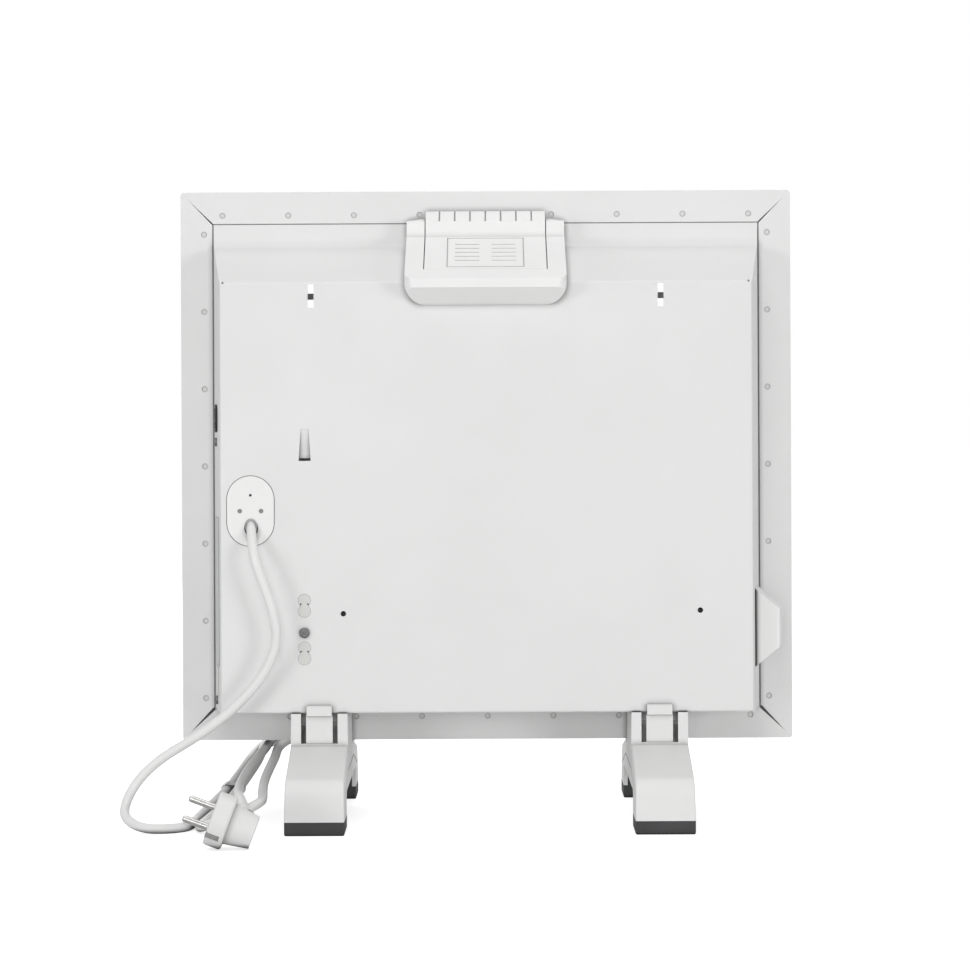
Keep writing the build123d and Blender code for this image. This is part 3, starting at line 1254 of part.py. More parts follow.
def make_element_bracket(arm_x, pilot, name):
    """Sheet bracket: arm round the ceramic bush, foot flat on the rear wall."""
    foot_reach = abs(pilot[0] - arm_x) + BRACKET_NOSE / 2
    away = 1 if pilot[0] > arm_x else -1
    with BuildPart() as bracket:
        with BuildSketch(Plane.YZ.offset(arm_x - BRACKET_SHEET / 2)):
            with BuildLine():
                Polyline(
                    (ELEMENT_Y - BRACKET_NOSE, ELEMENT_Z - BRACKET_NOSE),
                    (ELEMENT_Y - BRACKET_NOSE, ELEMENT_Z + BRACKET_NOSE),
                    (INNER_REAR, ELEMENT_Z + BRACKET_HALF),
                    (INNER_REAR, ELEMENT_Z - BRACKET_HALF),
                    close=True,
                )
            make_face()
            with Locations((ELEMENT_Y, ELEMENT_Z)):
                Circle(BUSH_RADIUS + PIN_FIT, mode=Mode.SUBTRACT)
        extrude(amount=BRACKET_SHEET)
        with BuildSketch(Plane.XZ.offset(-INNER_REAR)):
            with Locations((arm_x + away * foot_reach / 2, ELEMENT_Z)):
                Rectangle(foot_reach, 2 * BRACKET_HALF)
            with Locations(pilot):
                Circle(PILOT_RADIUS, mode=Mode.SUBTRACT)
        extrude(amount=BRACKET_SHEET)
    return write(bracket.part, name)


arm_inset = BUSH_LENGTH / 4
make_element_bracket(ELEMENT_RIGHT + arm_inset, PILOT_LEFT, "element_bracket_right")
make_element_bracket(ELEMENT_LEFT - arm_inset, PILOT_RIGHT, "element_bracket_left")

# Thermal cut-out on the rear wall above the element
with BuildPart() as thermal_cutout:
    with BuildSketch(Plane.XZ.offset(-INNER_REAR)):
        with Locations((CUTOUT_X, CUTOUT_Z)):
            SlotOverall(CUTOUT_FLANGE, CUTOUT_RADIUS * 1.5)
    extrude(amount=BRACKET_SHEET)
    with BuildSketch(Plane.XZ.offset(-INNER_REAR)):
        with Locations((CUTOUT_X, CUTOUT_Z)):
            Circle(CUTOUT_RADIUS)
    extrude(amount=CUTOUT_DEPTH)
    with BuildSketch(Plane.XZ.offset(-INNER_REAR + CUTOUT_DEPTH)):
        with Locations((CUTOUT_X, CUTOUT_Z)):
            with GridLocations(CUTOUT_RADIUS, 1, 2, 1):
                Rectangle(BRACKET_SHEET, CUTOUT_RADIUS / 2)
    extrude(amount=CUTOUT_DEPTH / 2)
write(thermal_cutout.part, "thermal_cutout")

# Terminal block on the rear wall, with its clamp screws
with BuildPart() as terminal_block:
    with BuildSketch(Plane.XZ.offset(-INNER_REAR)):
        with Locations((BLOCK_X, BLOCK_Z)):
            Rectangle(BLOCK_WIDTH, BLOCK_HEIGHT)
    extrude(amount=BLOCK_DEPTH)
    with BuildSketch(Plane.XZ.offset(-INNER_REAR + BLOCK_DEPTH)):
        with Locations((BLOCK_X, BLOCK_Z)):
            with GridLocations(BLOCK_PITCH, BLOCK_HEIGHT / 2, BLOCK_POLES, 2):
                Circle(CORD_SCREW_RADIUS + PIN_FIT)
    extrude(amount=-BLOCK_DEPTH / 2, mode=Mode.SUBTRACT)
write(terminal_block.part, "terminal_block")

with BuildPart() as terminal_screws:
    with BuildSketch(Plane.XZ.offset(-INNER_REAR + BLOCK_DEPTH / 2)):
        with Locations((BLOCK_X, BLOCK_Z)):
            with GridLocations(BLOCK_PITCH, BLOCK_HEIGHT / 2, BLOCK_POLES, 2):
                Circle(CORD_SCREW_RADIUS)
    extrude(amount=BLOCK_DEPTH / 3)
write(terminal_screws.part, "terminal_screws")

with BuildPart() as earth_stud:
    with BuildSketch(Plane.XZ.offset(-INNER_REAR)):
        with Locations((EARTH_X, EARTH_Z)):
            RegularPolygon(2 * TERMINAL_RADIUS, 6)
    extrude(amount=TERMINAL_RADIUS * 1.5)
    with BuildSketch(Plane.XZ.offset(-INNER_REAR)):
        with Locations((EARTH_X, EARTH_Z)):
            Circle(TERMINAL_RADIUS)
    extrude(amount=TERMINAL_LENGTH)
write(earth_stud.part, "earth_stud")


def corner_radii(points):
    """Radius at each corner of a route: the arc takes 0.45 of the shorter run."""
    radii = []
    for before, here, after in zip(points, points[1:], points[2:]):
        into = Vector(*here) - Vector(*before)
        out_of = Vector(*after) - Vector(*here)
        half_turn = math.radians(into.get_angle(out_of)) / 2
        radii.append(0.45 * min(into.length, out_of.length) / math.tan(half_turn))
    return radii


def make_cord(points, name):
    """Round tube along straight runs joined by tangent arcs."""
    with BuildPart() as cord:
        with BuildLine() as route:
            FilletPolyline(*points, radius=corner_radii(points))
        start = Vector(*points[0])
        with BuildSketch(Plane(origin=start, z_dir=Vector(*points[1]) - start)):
            Circle(CORD_RADIUS)
        sweep()
    line = route.wires()[0]
    print(name, "length", round(line.length, 1))
    print(name, "tightest bend", round(min(corner_radii(points)), 1))
    write(cord.part, name)
    return line


# Free run of the cord: out of the plate, down beside the wall, round onto the floor
CORD_JOIN = (212.9, 73.0, 3.6)
free_run = [
    CORD_START,
    tuple(Vector(*CORD_START) + Vector(*CORD_EXIT_WAY)),
    (163.0, 65.5, 177.5),
    (155.6, 64.3, 156.5),
    (152.2, 63.0, 137.0),
    (156.4, 62.0, 119.0),
    (169.5, 61.2, 99.0),
    (190.5, 61.0, 78.5),
    (214.0, 61.8, 62.3),
    (236.5, 63.8, 49.4),
    (252.5, 67.5, 35.0),
    (260.9, 76.0, 20.5),
    (261.3, 91.9, 9.9),
    (247.2, 106.0, 3.9),
    (227.4, 106.0, 3.5),
    (213.3, 91.9, 3.5),
    CORD_JOIN,
]
free_wire = make_cord(free_run, "power_cord")

# Folded rest of the cord: four strands between the floor and the leg's front arm
strand_up = [
    CORD_JOIN,
    (212.8, 66.0, 3.6),
    (203.3, 30.0, 10.6),
    TIE_OUTER,
    (186.8, -15.1, 27.2),
    (180.8, -39.3, 35.0),
    (176.8, -64.0, 40.5),
    (171.0, -84.0, 42.5),
    (157.0, -102.0, 44.4),
]
lower_fold = [
    (139.4, -114.0, 42.2),
    (119.6, -114.0, 42.2),
    (105.5, -99.9, 44.8),
    (105.5, -80.1, 48.4),
    (119.6, -66.0, 50.9),
    (146.8, -66.0, 50.8),
]
strand_back = [
    (159.6, -52.4, 44.3),
    (159.6, -18.0, 39.8),
    (162.2, 8.0, 34.5),
    (164.6, 32.0, 28.0),
    (164.2, 52.0, 23.5),
]
rear_fold = [
    (162.6, 73.0, 21.5),
    (161.4, 103.4, 22.2),
    (175.0, 118.0, 16.7),
    (194.2, 118.0, 9.0),
    (207.8, 103.4, 3.5),
    (204.0, 64.0, 3.6),
]
strand_up_again = [
    (192.4, 30.0, 11.0),
    TIE_INNER,
    (178.6, -15.0, 28.0),
    (173.0, -36.0, 36.2),
    (171.0, -56.0, 43.0),
    (167.0, -76.0, 51.0),
    (155.0, -100.0, 53.2),
]
upper_fold = [
    (139.4, -114.0, 50.6),
    (119.6, -114.0, 50.6),
    (105.5, -99.9, 53.2),
    (105.5, -80.1, 56.8),
    (119.6, -66.0, 59.3),
    (137.2, -66.0, 60.0),
]
strand_to_plug = [
    (154.3, -64.5, 56.5),
    (165.5, -52.3, 49.0),
    (167.8, -34.0, 45.0),
    (172.3, -14.0, 40.5),
    (179.0, 8.0, 32.5),
    (182.8, 34.0, 25.0),
    (181.3, 62.0, 22.3),
    (178.0, 92.0, 24.5),
    (174.5, 120.0, 26.0),
    CORD_END,
]
hank_run = [
    *strand_up,
    *lower_fold,
    *strand_back,
    *rear_fold,
    *strand_up_again,
    *upper_fold,
    *strand_to_plug,
]
hank_wire = make_cord(hank_run, "cord_hank")

# Least gap of the cord to itself, on points two millimetres apart
cord_points = []
for wire in (free_wire, hank_wire):
    count = round(wire.length / 2)
    cord_points += [wire.position_at(step / count) for step in range(count)]
least_gap = min(
    (here - there).length
    for index, here in enumerate(cord_points)
    for there in cord_points[index + 18 :]
)
print("cord least gap to itself", round(least_gap - 2 * CORD_RADIUS, 2))
print("cord whole length", round(free_wire.length + hank_wire.length, 1))

# Tapered sleeve in the cord plate, ending just inside the plate's outer face
with BuildPart() as cord_sleeve:
    with BuildSketch(exit_plane):
        Circle(SLEEVE_ROOT)
    with BuildSketch(exit_plane.offset(SLEEVE_LENGTH)):
        Circle(SLEEVE_TIP)
    loft()
    with BuildSketch(exit_plane):
        Circle(CORD_RADIUS + PIN_FIT)
    extrude(amount=SLEEVE_LENGTH, mode=Mode.SUBTRACT)
    split(bisect_by=rear_plane.offset(-SLEEVE_DROP), keep=Keep.BOTTOM)
write(cord_sleeve.part, "cord_sleeve")

# Tie: a thin strip round two strands of the hank
across = Vector(*TIE_INNER) - Vector(*TIE_OUTER)
tie_plane = Plane(origin=Vector(*TIE_OUTER) + across * 0.5, x_dir=across, z_dir=TIE_WAY)
with BuildPart() as cord_tie:
    with BuildSketch(tie_plane.offset(-TIE_WIDTH / 2)):
        SlotCenterToCenter(across.length, 2 * (CORD_RADIUS + TIE_GAP + TIE_THICK))
        SlotCenterToCenter(across.length, 2 * (CORD_RADIUS + TIE_GAP), mode=Mode.SUBTRACT)
    extrude(amount=TIE_WIDTH)
write(cord_tie.part, "cord_tie")

# Plug body: disc, tapered grip and the sleeve moulded with it
plug_plane = Plane(origin=MAINS_FACE, x_dir=MAINS_ROW, z_dir=MAINS_AIM)
end_way = Vector(*hank_run[-2]) - Vector(*CORD_END)
end_plane = Plane(origin=CORD_END, z_dir=end_way)
with BuildPart() as plug_body:
    with BuildSketch(plug_plane):
        Circle(MAINS_DISC)
    extrude(amount=-MAINS_DISC_DEPTH)
    fillet(plug_body.edges(), MAINS_ROUND)
    with BuildSketch(plug_plane.offset(-MAINS_DISC_DEPTH)):
        Circle(MAINS_GRIP)
    extrude(amount=-MAINS_GRIP_DEPTH, taper=MAINS_GRIP_TAPER)
    with BuildSketch(end_plane.offset(-SLEEVE_SEAT)):
        Circle(SLEEVE_ROOT)
    with BuildSketch(end_plane.offset(SLEEVE_LENGTH)):
        Circle(SLEEVE_TIP)
    loft()
    with BuildSketch(end_plane):
        Circle(CORD_RADIUS + PIN_FIT)
    extrude(amount=SLEEVE_LENGTH, mode=Mode.SUBTRACT)
    with BuildSketch(plug_plane):
        with GridLocations(MAINS_PIN_PITCH, 1, 2, 1):
            Circle(MAINS_PIN_RADIUS + PIN_FIT)
    extrude(amount=-MAINS_PIN_SEAT, mode=Mode.SUBTRACT)
    with BuildSketch(plug_plane):
        with GridLocations(1, 2 * MAINS_DISC - EARTH_STRIP_THICK, 1, 2):
            Rectangle(EARTH_STRIP_WIDTH + 2 * PIN_FIT, EARTH_STRIP_THICK + 2 * SNUG_GAP)
    extrude(amount=-EARTH_STRIP_LENGTH, mode=Mode.SUBTRACT)
write(plug_body.part, "plug_body")

with BuildPart() as plug_pins:
    with BuildSketch(plug_plane.offset(-MAINS_PIN_SEAT)):
        with GridLocations(MAINS_PIN_PITCH, 1, 2, 1):
            Circle(MAINS_PIN_RADIUS)
    extrude(amount=MAINS_PIN_SEAT + MAINS_PIN_LENGTH)
    ends = plug_pins.edges().group_by(Axis(MAINS_FACE, MAINS_AIM))[-1]
    fillet(ends, MAINS_PIN_RADIUS * 0.7)
write(plug_pins.part, "plug_pins")

with BuildPart() as plug_earth:
    with BuildSketch(plug_plane):
        with GridLocations(1, 2 * MAINS_DISC - EARTH_STRIP_THICK, 1, 2):
            Rectangle(EARTH_STRIP_WIDTH, EARTH_STRIP_THICK)
    extrude(amount=-EARTH_STRIP_LENGTH)
write(plug_earth.part, "plug_earth")
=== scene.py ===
"""White convector heater, seen from behind: materials, cord, light and camera."""

import json
import math

import bpy
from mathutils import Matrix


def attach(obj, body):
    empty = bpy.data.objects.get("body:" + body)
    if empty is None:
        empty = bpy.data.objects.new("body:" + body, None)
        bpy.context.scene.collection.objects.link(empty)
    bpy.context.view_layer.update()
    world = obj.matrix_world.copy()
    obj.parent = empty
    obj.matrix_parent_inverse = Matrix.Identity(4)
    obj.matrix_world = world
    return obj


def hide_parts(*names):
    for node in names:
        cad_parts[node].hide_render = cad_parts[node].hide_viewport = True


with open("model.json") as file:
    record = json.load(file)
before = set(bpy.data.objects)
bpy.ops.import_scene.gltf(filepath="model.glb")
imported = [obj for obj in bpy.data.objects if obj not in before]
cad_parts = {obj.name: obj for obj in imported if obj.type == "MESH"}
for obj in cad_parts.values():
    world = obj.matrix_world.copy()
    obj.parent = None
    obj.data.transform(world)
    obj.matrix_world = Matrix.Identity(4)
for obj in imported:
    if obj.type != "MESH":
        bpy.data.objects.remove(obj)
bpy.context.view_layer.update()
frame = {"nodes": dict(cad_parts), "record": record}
nodes = frame["nodes"]

# Camera, solved from the photograph: level lens, shifted frame, slight roll
CAMERA_PLACE = (-0.00204, 2.370, 0.3222)
CAMERA_LENS = 118.0
CAMERA_SHIFT = (-0.0039, -0.1082)
CAMERA_ROLL = math.radians(0.27)

CAMERA_SENSOR = 36.0

# Cord: its thickness as in the part's source, its length along the route below
CORD_DIAMETER = 0.007

# How far the painted shade in creases darkens the paint and plastic around it
PAINTED_SHADE_REACH = 0.005
PAINTED_SHADE_SAMPLES = 8

# Floor: half its side, its grey under light and what it adds for the camera alone
FLOOR_REACH = 12.0
FLOOR_GREY = 0.8
FLOOR_LIFT = 0.68

# Light of the surroundings, and the white that a direct look finds there
SURROUND_LIGHT = 0.42
WHITE = (1.0, 1.0, 1.0, 1.0)

# Lamps, all aimed at one point: place, width and height, power
LAMP_AIM = (0.0, 0.0, 0.25)
LAMPS = {
    "behind_camera": ((0.0, 3.0, 0.3), (1.2, 0.6), 9.0),
    "left": ((2.0, 2.2, 0.3), (0.8, 0.8), 15.0),
    "right": ((-2.0, 2.2, 0.3), (0.8, 0.8), 18.5),
    "overhead": ((0.0, -0.1, 2.3), (1.8, 1.4), 15.0),
    "key": ((0.4, 2.3, 1.6), (0.9, 0.7), 8.0),
    "front_fill": ((0.4, -2.4, 1.3), (1.8, 1.4), 14.0),
}

# Noise runs from about NOISE_LOW to NOISE_HIGH; colours blend over a narrower band
NOISE_LOW = 0.3
NOISE_HIGH = 0.7
BLEND_START = 0.35
BLEND_END = 0.65


def start_material(name):
    """A new material with only a surface shader and an output."""
    material = bpy.data.materials.new(name)
    material.use_nodes = True
    tree = material.node_tree
    shader = tree.nodes["Principled BSDF"]
    return material, tree, shader


def texture_place(tree, stretch=(1.0, 1.0, 1.0)):
    coordinates = tree.nodes.new("ShaderNodeTexCoord")
    mapping = tree.nodes.new("ShaderNodeMapping")
    mapping.inputs["Scale"].default_value = stretch
    tree.links.new(coordinates.outputs["Object"], mapping.inputs["Vector"])
    return mapping.outputs["Vector"]


def noise(tree, place, scale, detail=2.0):
    texture = tree.nodes.new("ShaderNodeTexNoise")
    texture.inputs["Scale"].default_value = scale
    texture.inputs["Detail"].default_value = detail
    tree.links.new(place, texture.inputs["Vector"])
    return texture.outputs["Fac"]


def spread(tree, value, low, high):
    """Maps a noise onto low to high."""
    ranged = tree.nodes.new("ShaderNodeMapRange")
    ranged.inputs["From Min"].default_value = NOISE_LOW
    ranged.inputs["From Max"].default_value = NOISE_HIGH
    ranged.inputs["To Min"].default_value = low
    ranged.inputs["To Max"].default_value = high
    tree.links.new(value, ranged.inputs["Value"])
    return ranged.outputs["Result"]


def blend_colours(tree, value, first, second):
    ramp = tree.nodes.new("ShaderNodeValToRGB")
    start, end = ramp.color_ramp.elements
    start.position = BLEND_START
    start.color = (*first, 1.0)
    end.position = BLEND_END
    end.color = (*second, 1.0)
    tree.links.new(value, ramp.inputs["Fac"])
    return ramp.outputs["Color"]


def painted_crease_shade(tree, colour):
    """The same colour with painted shade: darker inside narrow gaps and against neighbouring
    pieces.
    """
    occlusion = tree.nodes.new("ShaderNodeAmbientOcclusion")
    occlusion.samples = PAINTED_SHADE_SAMPLES
    occlusion.inputs["Distance"].default_value = PAINTED_SHADE_REACH
    tree.links.new(colour, occlusion.inputs["Color"])
    return occlusion.outputs["Color"]


def add_bump(tree, shader, height, distance):
    bump = tree.nodes.new("ShaderNodeBump")
    bump.inputs["Distance"].default_value = distance
    bump.inputs["Strength"].default_value = 1.0
    tree.links.new(height, bump.inputs["Height"])
    tree.links.new(bump.outputs["Normal"], shader.inputs["Normal"])


def moulded(name, colour, roughness, shade=0.02, grain=1500.0, depth=0.00003):
    """Moulded plastic: slight mottling, uneven sheen and a fine spark-eroded grain."""
    material, tree, shader = start_material(name)
    place = texture_place(tree)
    darker = tuple(part * (1 - shade) for part in colour)
    cloudy = blend_colours(tree, noise(tree, place, 22.0), darker, colour)
    # Painted shade: the base colour is darkened in creases, gaps and against neighbouring pieces
    tree.links.new(painted_crease_shade(tree, cloudy), shader.inputs["Base Color"])
    patchy = noise(tree, place, 60.0, 3.0)
    tree.links.new(
        spread(tree, patchy, roughness - 0.05, roughness + 0.05),
        shader.inputs["Roughness"],
    )
    add_bump(tree, shader, noise(tree, place, grain, 1.0), depth)
    return material


def metal(name, colour, roughness, stretch=(1.0, 1.0, 1.0), grain=400.0):
    """Bare metal with fine marks, drawn out along the axis with the lowest stretch."""
    material, tree, shader = start_material(name)
    shader.inputs["Metallic"].default_value = 1.0
    place = texture_place(tree, stretch)
    darker = tuple(part * 0.85 for part in colour)
    marks = noise(tree, place, grain, 4.0)
    tree.links.new(blend_colours(tree, marks, darker, colour), shader.inputs["Base Color"])
    tree.links.new(
        spread(tree, marks, roughness - 0.07, roughness + 0.07),
        shader.inputs["Roughness"],
    )
    add_bump(tree, shader, marks, 0.00002)
    return material


def powder_coat():
    """White powder coat on sheet steel: faint orange peel and soft mottling."""
    material, tree, shader = start_material("powder_coat")
    place = texture_place(tree)
    cloudy = noise(tree, place, 9.0, 3.0)
    coat = blend_colours(tree, cloudy, (0.755, 0.755, 0.752), (0.775, 0.775, 0.773))
    # Painted shade: the coat colour is darkened in creases, gaps and against neighbouring pieces
    tree.links.new(painted_crease_shade(tree, coat), shader.inputs["Base Color"])
    patchy = noise(tree, place, 40.0, 3.0)
    tree.links.new(spread(tree, patchy, 0.42, 0.52), shader.inputs["Roughness"])
    add_bump(tree, shader, noise(tree, place, 620.0, 2.0), 0.00006)
    return material


def foot_rubber():
    return moulded("foot_rubber", (0.055, 0.055, 0.058), 0.75, 0.25, 900.0, 0.00006)


def display_black():
    material, tree, shader = start_material("display_black")
    shader.inputs["Coat Weight"].default_value = 0.6
    shader.inputs["Coat Roughness"].default_value = 0.04
    place = texture_place(tree)
    smear = noise(tree, place, 45.0, 3.0)
    tree.links.new(
        blend_colours(tree, smear, (0.012, 0.012, 0.014), (0.018, 0.018, 0.021)),
        shader.inputs["Base Color"],
    )
    tree.links.new(spread(tree, smear, 0.08, 0.16), shader.inputs["Roughness"])
    return material


def clear_tie():
    material, tree, shader = start_material("clear_tie")
    shader.inputs["Alpha"].default_value = 0.55
    place = texture_place(tree)
    tree.links.new(
        blend_colours(tree, noise(tree, place, 300.0), (0.62, 0.65, 0.66), (0.75, 0.77, 0.78)),
        shader.inputs["Base Color"],
    )
    tree.links.new(spread(tree, noise(tree, place, 500.0), 0.2, 0.35), shader.inputs["Roughness"])
    return material


def galvanised():
    """Zinc sheet with its crystal flowers."""
    material, tree, shader = start_material("galvanised")
    shader.inputs["Metallic"].default_value = 1.0
    place = texture_place(tree)
    crystals = tree.nodes.new("ShaderNodeTexVoronoi")
    crystals.inputs["Scale"].default_value = 180.0
    tree.links.new(place, crystals.inputs["Vector"])
    tree.links.new(
        blend_colours(tree, crystals.outputs["Distance"], (0.5, 0.51, 0.52), (0.66, 0.67, 0.68)),
        shader.inputs["Base Color"],
    )
    tree.links.new(
        spread(tree, crystals.outputs["Distance"], 0.32, 0.5), shader.inputs["Roughness"]
    )
    return material


MATERIALS = {
    "panel_paint": powder_coat(),
    "leg_plastic": moulded("leg_plastic", (0.77, 0.77, 0.765), 0.5),
    "foot_rubber": foot_rubber(),
    "unit_plastic": moulded("unit_plastic", (0.84, 0.84, 0.835), 0.48),
    "fascia_plastic": moulded("fascia_plastic", (0.8, 0.8, 0.8), 0.3, 0.02, 2500.0, 0.00001),
    "display_black": display_black(),
    "button_plastic": moulded("button_plastic", (0.5, 0.51, 0.52), 0.4),
    "board_green": moulded("board_green", (0.03, 0.14, 0.06), 0.55, 0.3, 700.0),
    "pin_brass": metal("pin_brass", (0.78, 0.6, 0.3), 0.25),
    "pin_nickel": metal("pin_nickel", (0.5, 0.495, 0.485), 0.2),
    "socket_plastic": moulded("socket_plastic", (0.66, 0.66, 0.64), 0.5),
    "switch_black": moulded("switch_black", (0.02, 0.02, 0.021), 0.35, 0.3),
    "plate_silver": moulded("plate_silver", (0.58, 0.59, 0.6), 0.38, 0.04, 3000.0, 0.00001),
    "seal_film": moulded("seal_film", (0.72, 0.72, 0.71), 0.35, 0.04, 3000.0, 0.00001),
    "screw_steel": metal("screw_steel", (0.2, 0.2, 0.205), 0.45),
    "screw_dark": metal("screw_dark", (0.16, 0.16, 0.16), 0.4),
    "cord_pvc": moulded("cord_pvc", (0.8, 0.8, 0.795), 0.42, 0.02, 1200.0, 0.00002),
    "tie_clear": clear_tie(),
    "plug_white": moulded("plug_white", (0.75, 0.75, 0.745), 0.4),
    "element_aluminium": metal("element_aluminium", (0.75, 0.76, 0.77), 0.35, (0.05, 1.0, 1.0)),
    "rod_steel": metal("rod_steel", (0.42, 0.42, 0.43), 0.3, (0.1, 1.0, 1.0)),
    "ceramic": moulded("ceramic", (0.78, 0.75, 0.68), 0.7, 0.06, 800.0, 0.00005),
    "bracket_steel": galvanised(),
    "cutout_brown": moulded("cutout_brown", (0.06, 0.03, 0.018), 0.45, 0.2),
    "block_plastic": moulded("block_plastic", (0.68, 0.66, 0.56), 0.5),
}


def dress_nodes():
    """Gives every CAD node the material of its slot in the record."""
    for entry in frame["record"]["subparts"]:
        mesh = nodes[entry["node"]].data
        mesh.materials.clear()
        mesh.materials.append(MATERIALS[entry["material_slot"]])


# Route of the cord in metres: free run, then four strands with their folds
FREE_RUN = [
    (0.1727, 0.0385, 0.221),
    (0.1709, 0.0635, 0.199),
    (0.163, 0.0655, 0.1775),
    (0.1556, 0.0643, 0.1565),
    (0.1522, 0.063, 0.137),
    (0.1564, 0.062, 0.119),
    (0.1695, 0.0612, 0.099),
    (0.1905, 0.061, 0.0785),
    (0.214, 0.0618, 0.0623),
    (0.2365, 0.0638, 0.0494),
    (0.2525, 0.0675, 0.035),
    (0.2609, 0.076, 0.0205),
    (0.2613, 0.0919, 0.0099),
    (0.2472, 0.106, 0.0039),
    (0.2274, 0.106, 0.0035),
    (0.2133, 0.0919, 0.0035),
]
STRAND_UP = [
    (0.2128, 0.066, 0.0036),
    (0.2033, 0.03, 0.0106),
    (0.1934, 0.007, 0.019),
    (0.1868, -0.0151, 0.0272),
    (0.1808, -0.0393, 0.035),
    (0.1768, -0.064, 0.0405),
    (0.171, -0.084, 0.0425),
    (0.157, -0.102, 0.0444),
]
LOWER_FOLD = [
    (0.1394, -0.114, 0.0422),
    (0.1196, -0.114, 0.0422),
    (0.1055, -0.0999, 0.0448),
    (0.1055, -0.0801, 0.0484),
    (0.1196, -0.066, 0.0509),
    (0.1468, -0.066, 0.0508),
]
STRAND_BACK = [
    (0.1596, -0.0524, 0.0443),
    (0.1596, -0.018, 0.0398),
    (0.1622, 0.008, 0.0345),
    (0.1646, 0.032, 0.028),
    (0.1642, 0.052, 0.0235),
]
REAR_FOLD = [
    (0.1626, 0.073, 0.0215),
    (0.1614, 0.1034, 0.0222),
    (0.175, 0.118, 0.0167),
    (0.1942, 0.118, 0.009),
    (0.2078, 0.1034, 0.0035),
    (0.204, 0.064, 0.0036),
]
STRAND_UP_AGAIN = [
    (0.1924, 0.03, 0.011),
    (0.1848, 0.007, 0.0196),
    (0.1786, -0.015, 0.028),
    (0.173, -0.036, 0.0362),
    (0.171, -0.056, 0.043),
    (0.167, -0.076, 0.051),
    (0.155, -0.1, 0.0532),
]
UPPER_FOLD = [
    (0.1394, -0.114, 0.0506),
    (0.1196, -0.114, 0.0506),
    (0.1055, -0.0999, 0.0532),
    (0.1055, -0.0801, 0.0568),
    (0.1196, -0.066, 0.0593),
    (0.1372, -0.066, 0.06),
]
STRAND_TO_PLUG = [
    (0.1543, -0.0645, 0.0565),
    (0.1655, -0.0523, 0.049),
    (0.1678, -0.034, 0.045),
    (0.1723, -0.014, 0.0405),
    (0.179, 0.008, 0.0325),
    (0.1828, 0.034, 0.025),
    (0.1813, 0.062, 0.0223),
    (0.178, 0.092, 0.0245),
    (0.1745, 0.12, 0.026),
    (0.167, 0.168, 0.0225),
]
CORD_ROUTE = [
    *FREE_RUN,
    *STRAND_UP,
    *LOWER_FOLD,
    *STRAND_BACK,
    *REAR_FOLD,
    *STRAND_UP_AGAIN,
    *UPPER_FOLD,
    *STRAND_TO_PLUG,
]


def make_cord():
    curve = bpy.data.curves.new("mains_cord", "CURVE")
    curve.dimensions = "3D"
    curve.bevel_depth = CORD_DIAMETER / 2
    curve.bevel_resolution = 6
    curve.use_fill_caps = True
    spline = curve.splines.new("NURBS")
    spline.points.add(len(CORD_ROUTE) - 1)
    for point, place in zip(spline.points, CORD_ROUTE):
        point.co = (*place, 1.0)
    spline.order_u = 3
    spline.use_endpoint_u = True
    spline.resolution_u = 10
    cord = bpy.data.objects.new("mains_cord", curve)
    bpy.context.scene.collection.objects.link(cord)
    cord.data.materials.append(MATERIALS["cord_pvc"])
    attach(cord, "heater")
    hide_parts("power_cord", "cord_hank")


def make_floor():
    """Wide pale floor that runs out to white and keeps the object's shadow."""
    mesh = bpy.data.meshes.new("floor")
    turns = ((-1, -1), (1, -1), (1, 1), (-1, 1))
    corners = [(x * FLOOR_REACH, y * FLOOR_REACH, 0) for x, y in turns]
    mesh.from_pydata(corners, [], [(0, 1, 2, 3)])
    floor = bpy.data.objects.new("floor", mesh)
    bpy.context.scene.collection.objects.link(floor)
    material = bpy.data.materials.new("floor")
    material.use_nodes = True
    tree = material.node_tree
    tree.nodes.clear()
    output = tree.nodes.new("ShaderNodeOutputMaterial")
    matt = tree.nodes.new("ShaderNodeBsdfDiffuse")
    matt.inputs["Color"].default_value = (FLOOR_GREY, FLOOR_GREY, FLOOR_GREY, 1.0)
    glow = tree.nodes.new("ShaderNodeEmission")
    glow.inputs["Color"].default_value = WHITE
    sight = tree.nodes.new("ShaderNodeLightPath")
    lift = tree.nodes.new("ShaderNodeMath")
    lift.operation = "MULTIPLY"
    lift.inputs[1].default_value = FLOOR_LIFT
    both = tree.nodes.new("ShaderNodeAddShader")
    tree.links.new(sight.outputs["Is Camera Ray"], lift.inputs[0])
    tree.links.new(lift.outputs["Value"], glow.inputs["Strength"])
    tree.links.new(matt.outputs["BSDF"], both.inputs[0])
    tree.links.new(glow.outputs["Emission"], both.inputs[1])
    tree.links.new(both.outputs["Shader"], output.inputs["Surface"])
    mesh.materials.append(material)


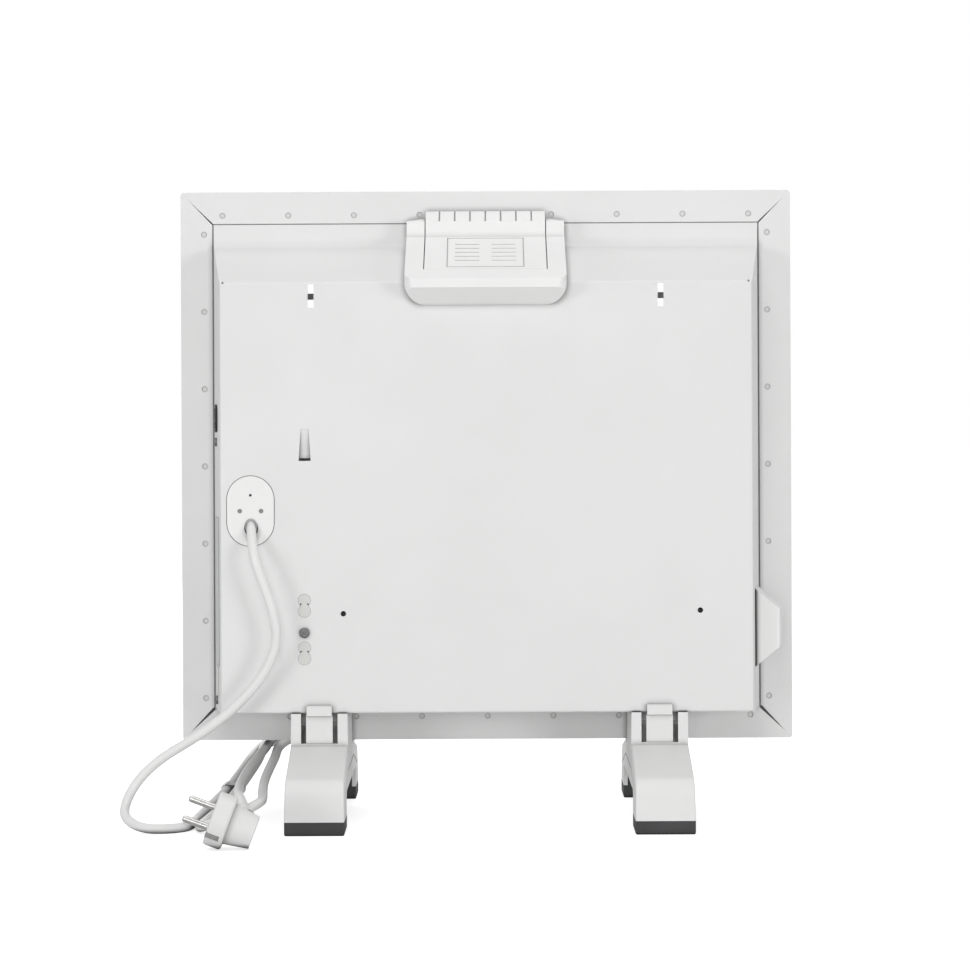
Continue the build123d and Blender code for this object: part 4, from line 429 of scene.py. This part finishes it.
def make_world():
    """Even pale surroundings; camera, mirror and see-through rays find pure white."""
    world = bpy.data.worlds.new("studio")
    bpy.context.scene.world = world
    world.use_nodes = True
    tree = world.node_tree
    tree.nodes.clear()
    output = tree.nodes.new("ShaderNodeOutputWorld")
    surround = tree.nodes.new("ShaderNodeBackground")
    surround.inputs["Color"].default_value = WHITE
    surround.inputs["Strength"].default_value = SURROUND_LIGHT
    white = tree.nodes.new("ShaderNodeBackground")
    white.inputs["Color"].default_value = WHITE
    white.inputs["Strength"].default_value = 1.0
    sight = tree.nodes.new("ShaderNodeLightPath")
    either = tree.nodes.new("ShaderNodeMath")
    either.operation = "MAXIMUM"
    any_of = tree.nodes.new("ShaderNodeMath")
    any_of.operation = "MAXIMUM"
    choose = tree.nodes.new("ShaderNodeMixShader")
    tree.links.new(sight.outputs["Is Camera Ray"], either.inputs[0])
    tree.links.new(sight.outputs["Is Glossy Ray"], either.inputs[1])
    tree.links.new(either.outputs["Value"], any_of.inputs[0])
    tree.links.new(sight.outputs["Is Transmission Ray"], any_of.inputs[1])
    tree.links.new(any_of.outputs["Value"], choose.inputs["Fac"])
    tree.links.new(surround.outputs["Background"], choose.inputs[1])
    tree.links.new(white.outputs["Background"], choose.inputs[2])
    tree.links.new(choose.outputs["Shader"], output.inputs["Surface"])


def add_lamp(name, place, size, power):
    light = bpy.data.lights.new(name, "AREA")
    light.shape = "RECTANGLE"
    light.size, light.size_y = size
    light.energy = power
    lamp = bpy.data.objects.new(name, light)
    lamp.location = place
    across, along, up = (end - start for start, end in zip(place, LAMP_AIM))
    pitch = math.pi / 2 + math.atan2(up, math.hypot(across, along))
    lamp.rotation_euler = (pitch, 0, math.atan2(-across, along))
    bpy.context.scene.collection.objects.link(lamp)


def make_camera():
    data = bpy.data.cameras.new("camera")
    data.lens = CAMERA_LENS
    data.sensor_width = CAMERA_SENSOR
    data.shift_x, data.shift_y = CAMERA_SHIFT
    camera = bpy.data.objects.new("camera", data)
    camera.location = CAMERA_PLACE
    camera.rotation_euler = (math.pi / 2, CAMERA_ROLL, math.pi)
    bpy.context.scene.collection.objects.link(camera)
    bpy.context.scene.camera = camera


dress_nodes()
make_cord()
make_floor()
make_world()
for lamp_name, (lamp_place, lamp_size, lamp_power) in LAMPS.items():
    add_lamp(lamp_name, lamp_place, lamp_size, lamp_power)
make_camera()
bpy.context.scene.view_settings.view_transform = "Standard"
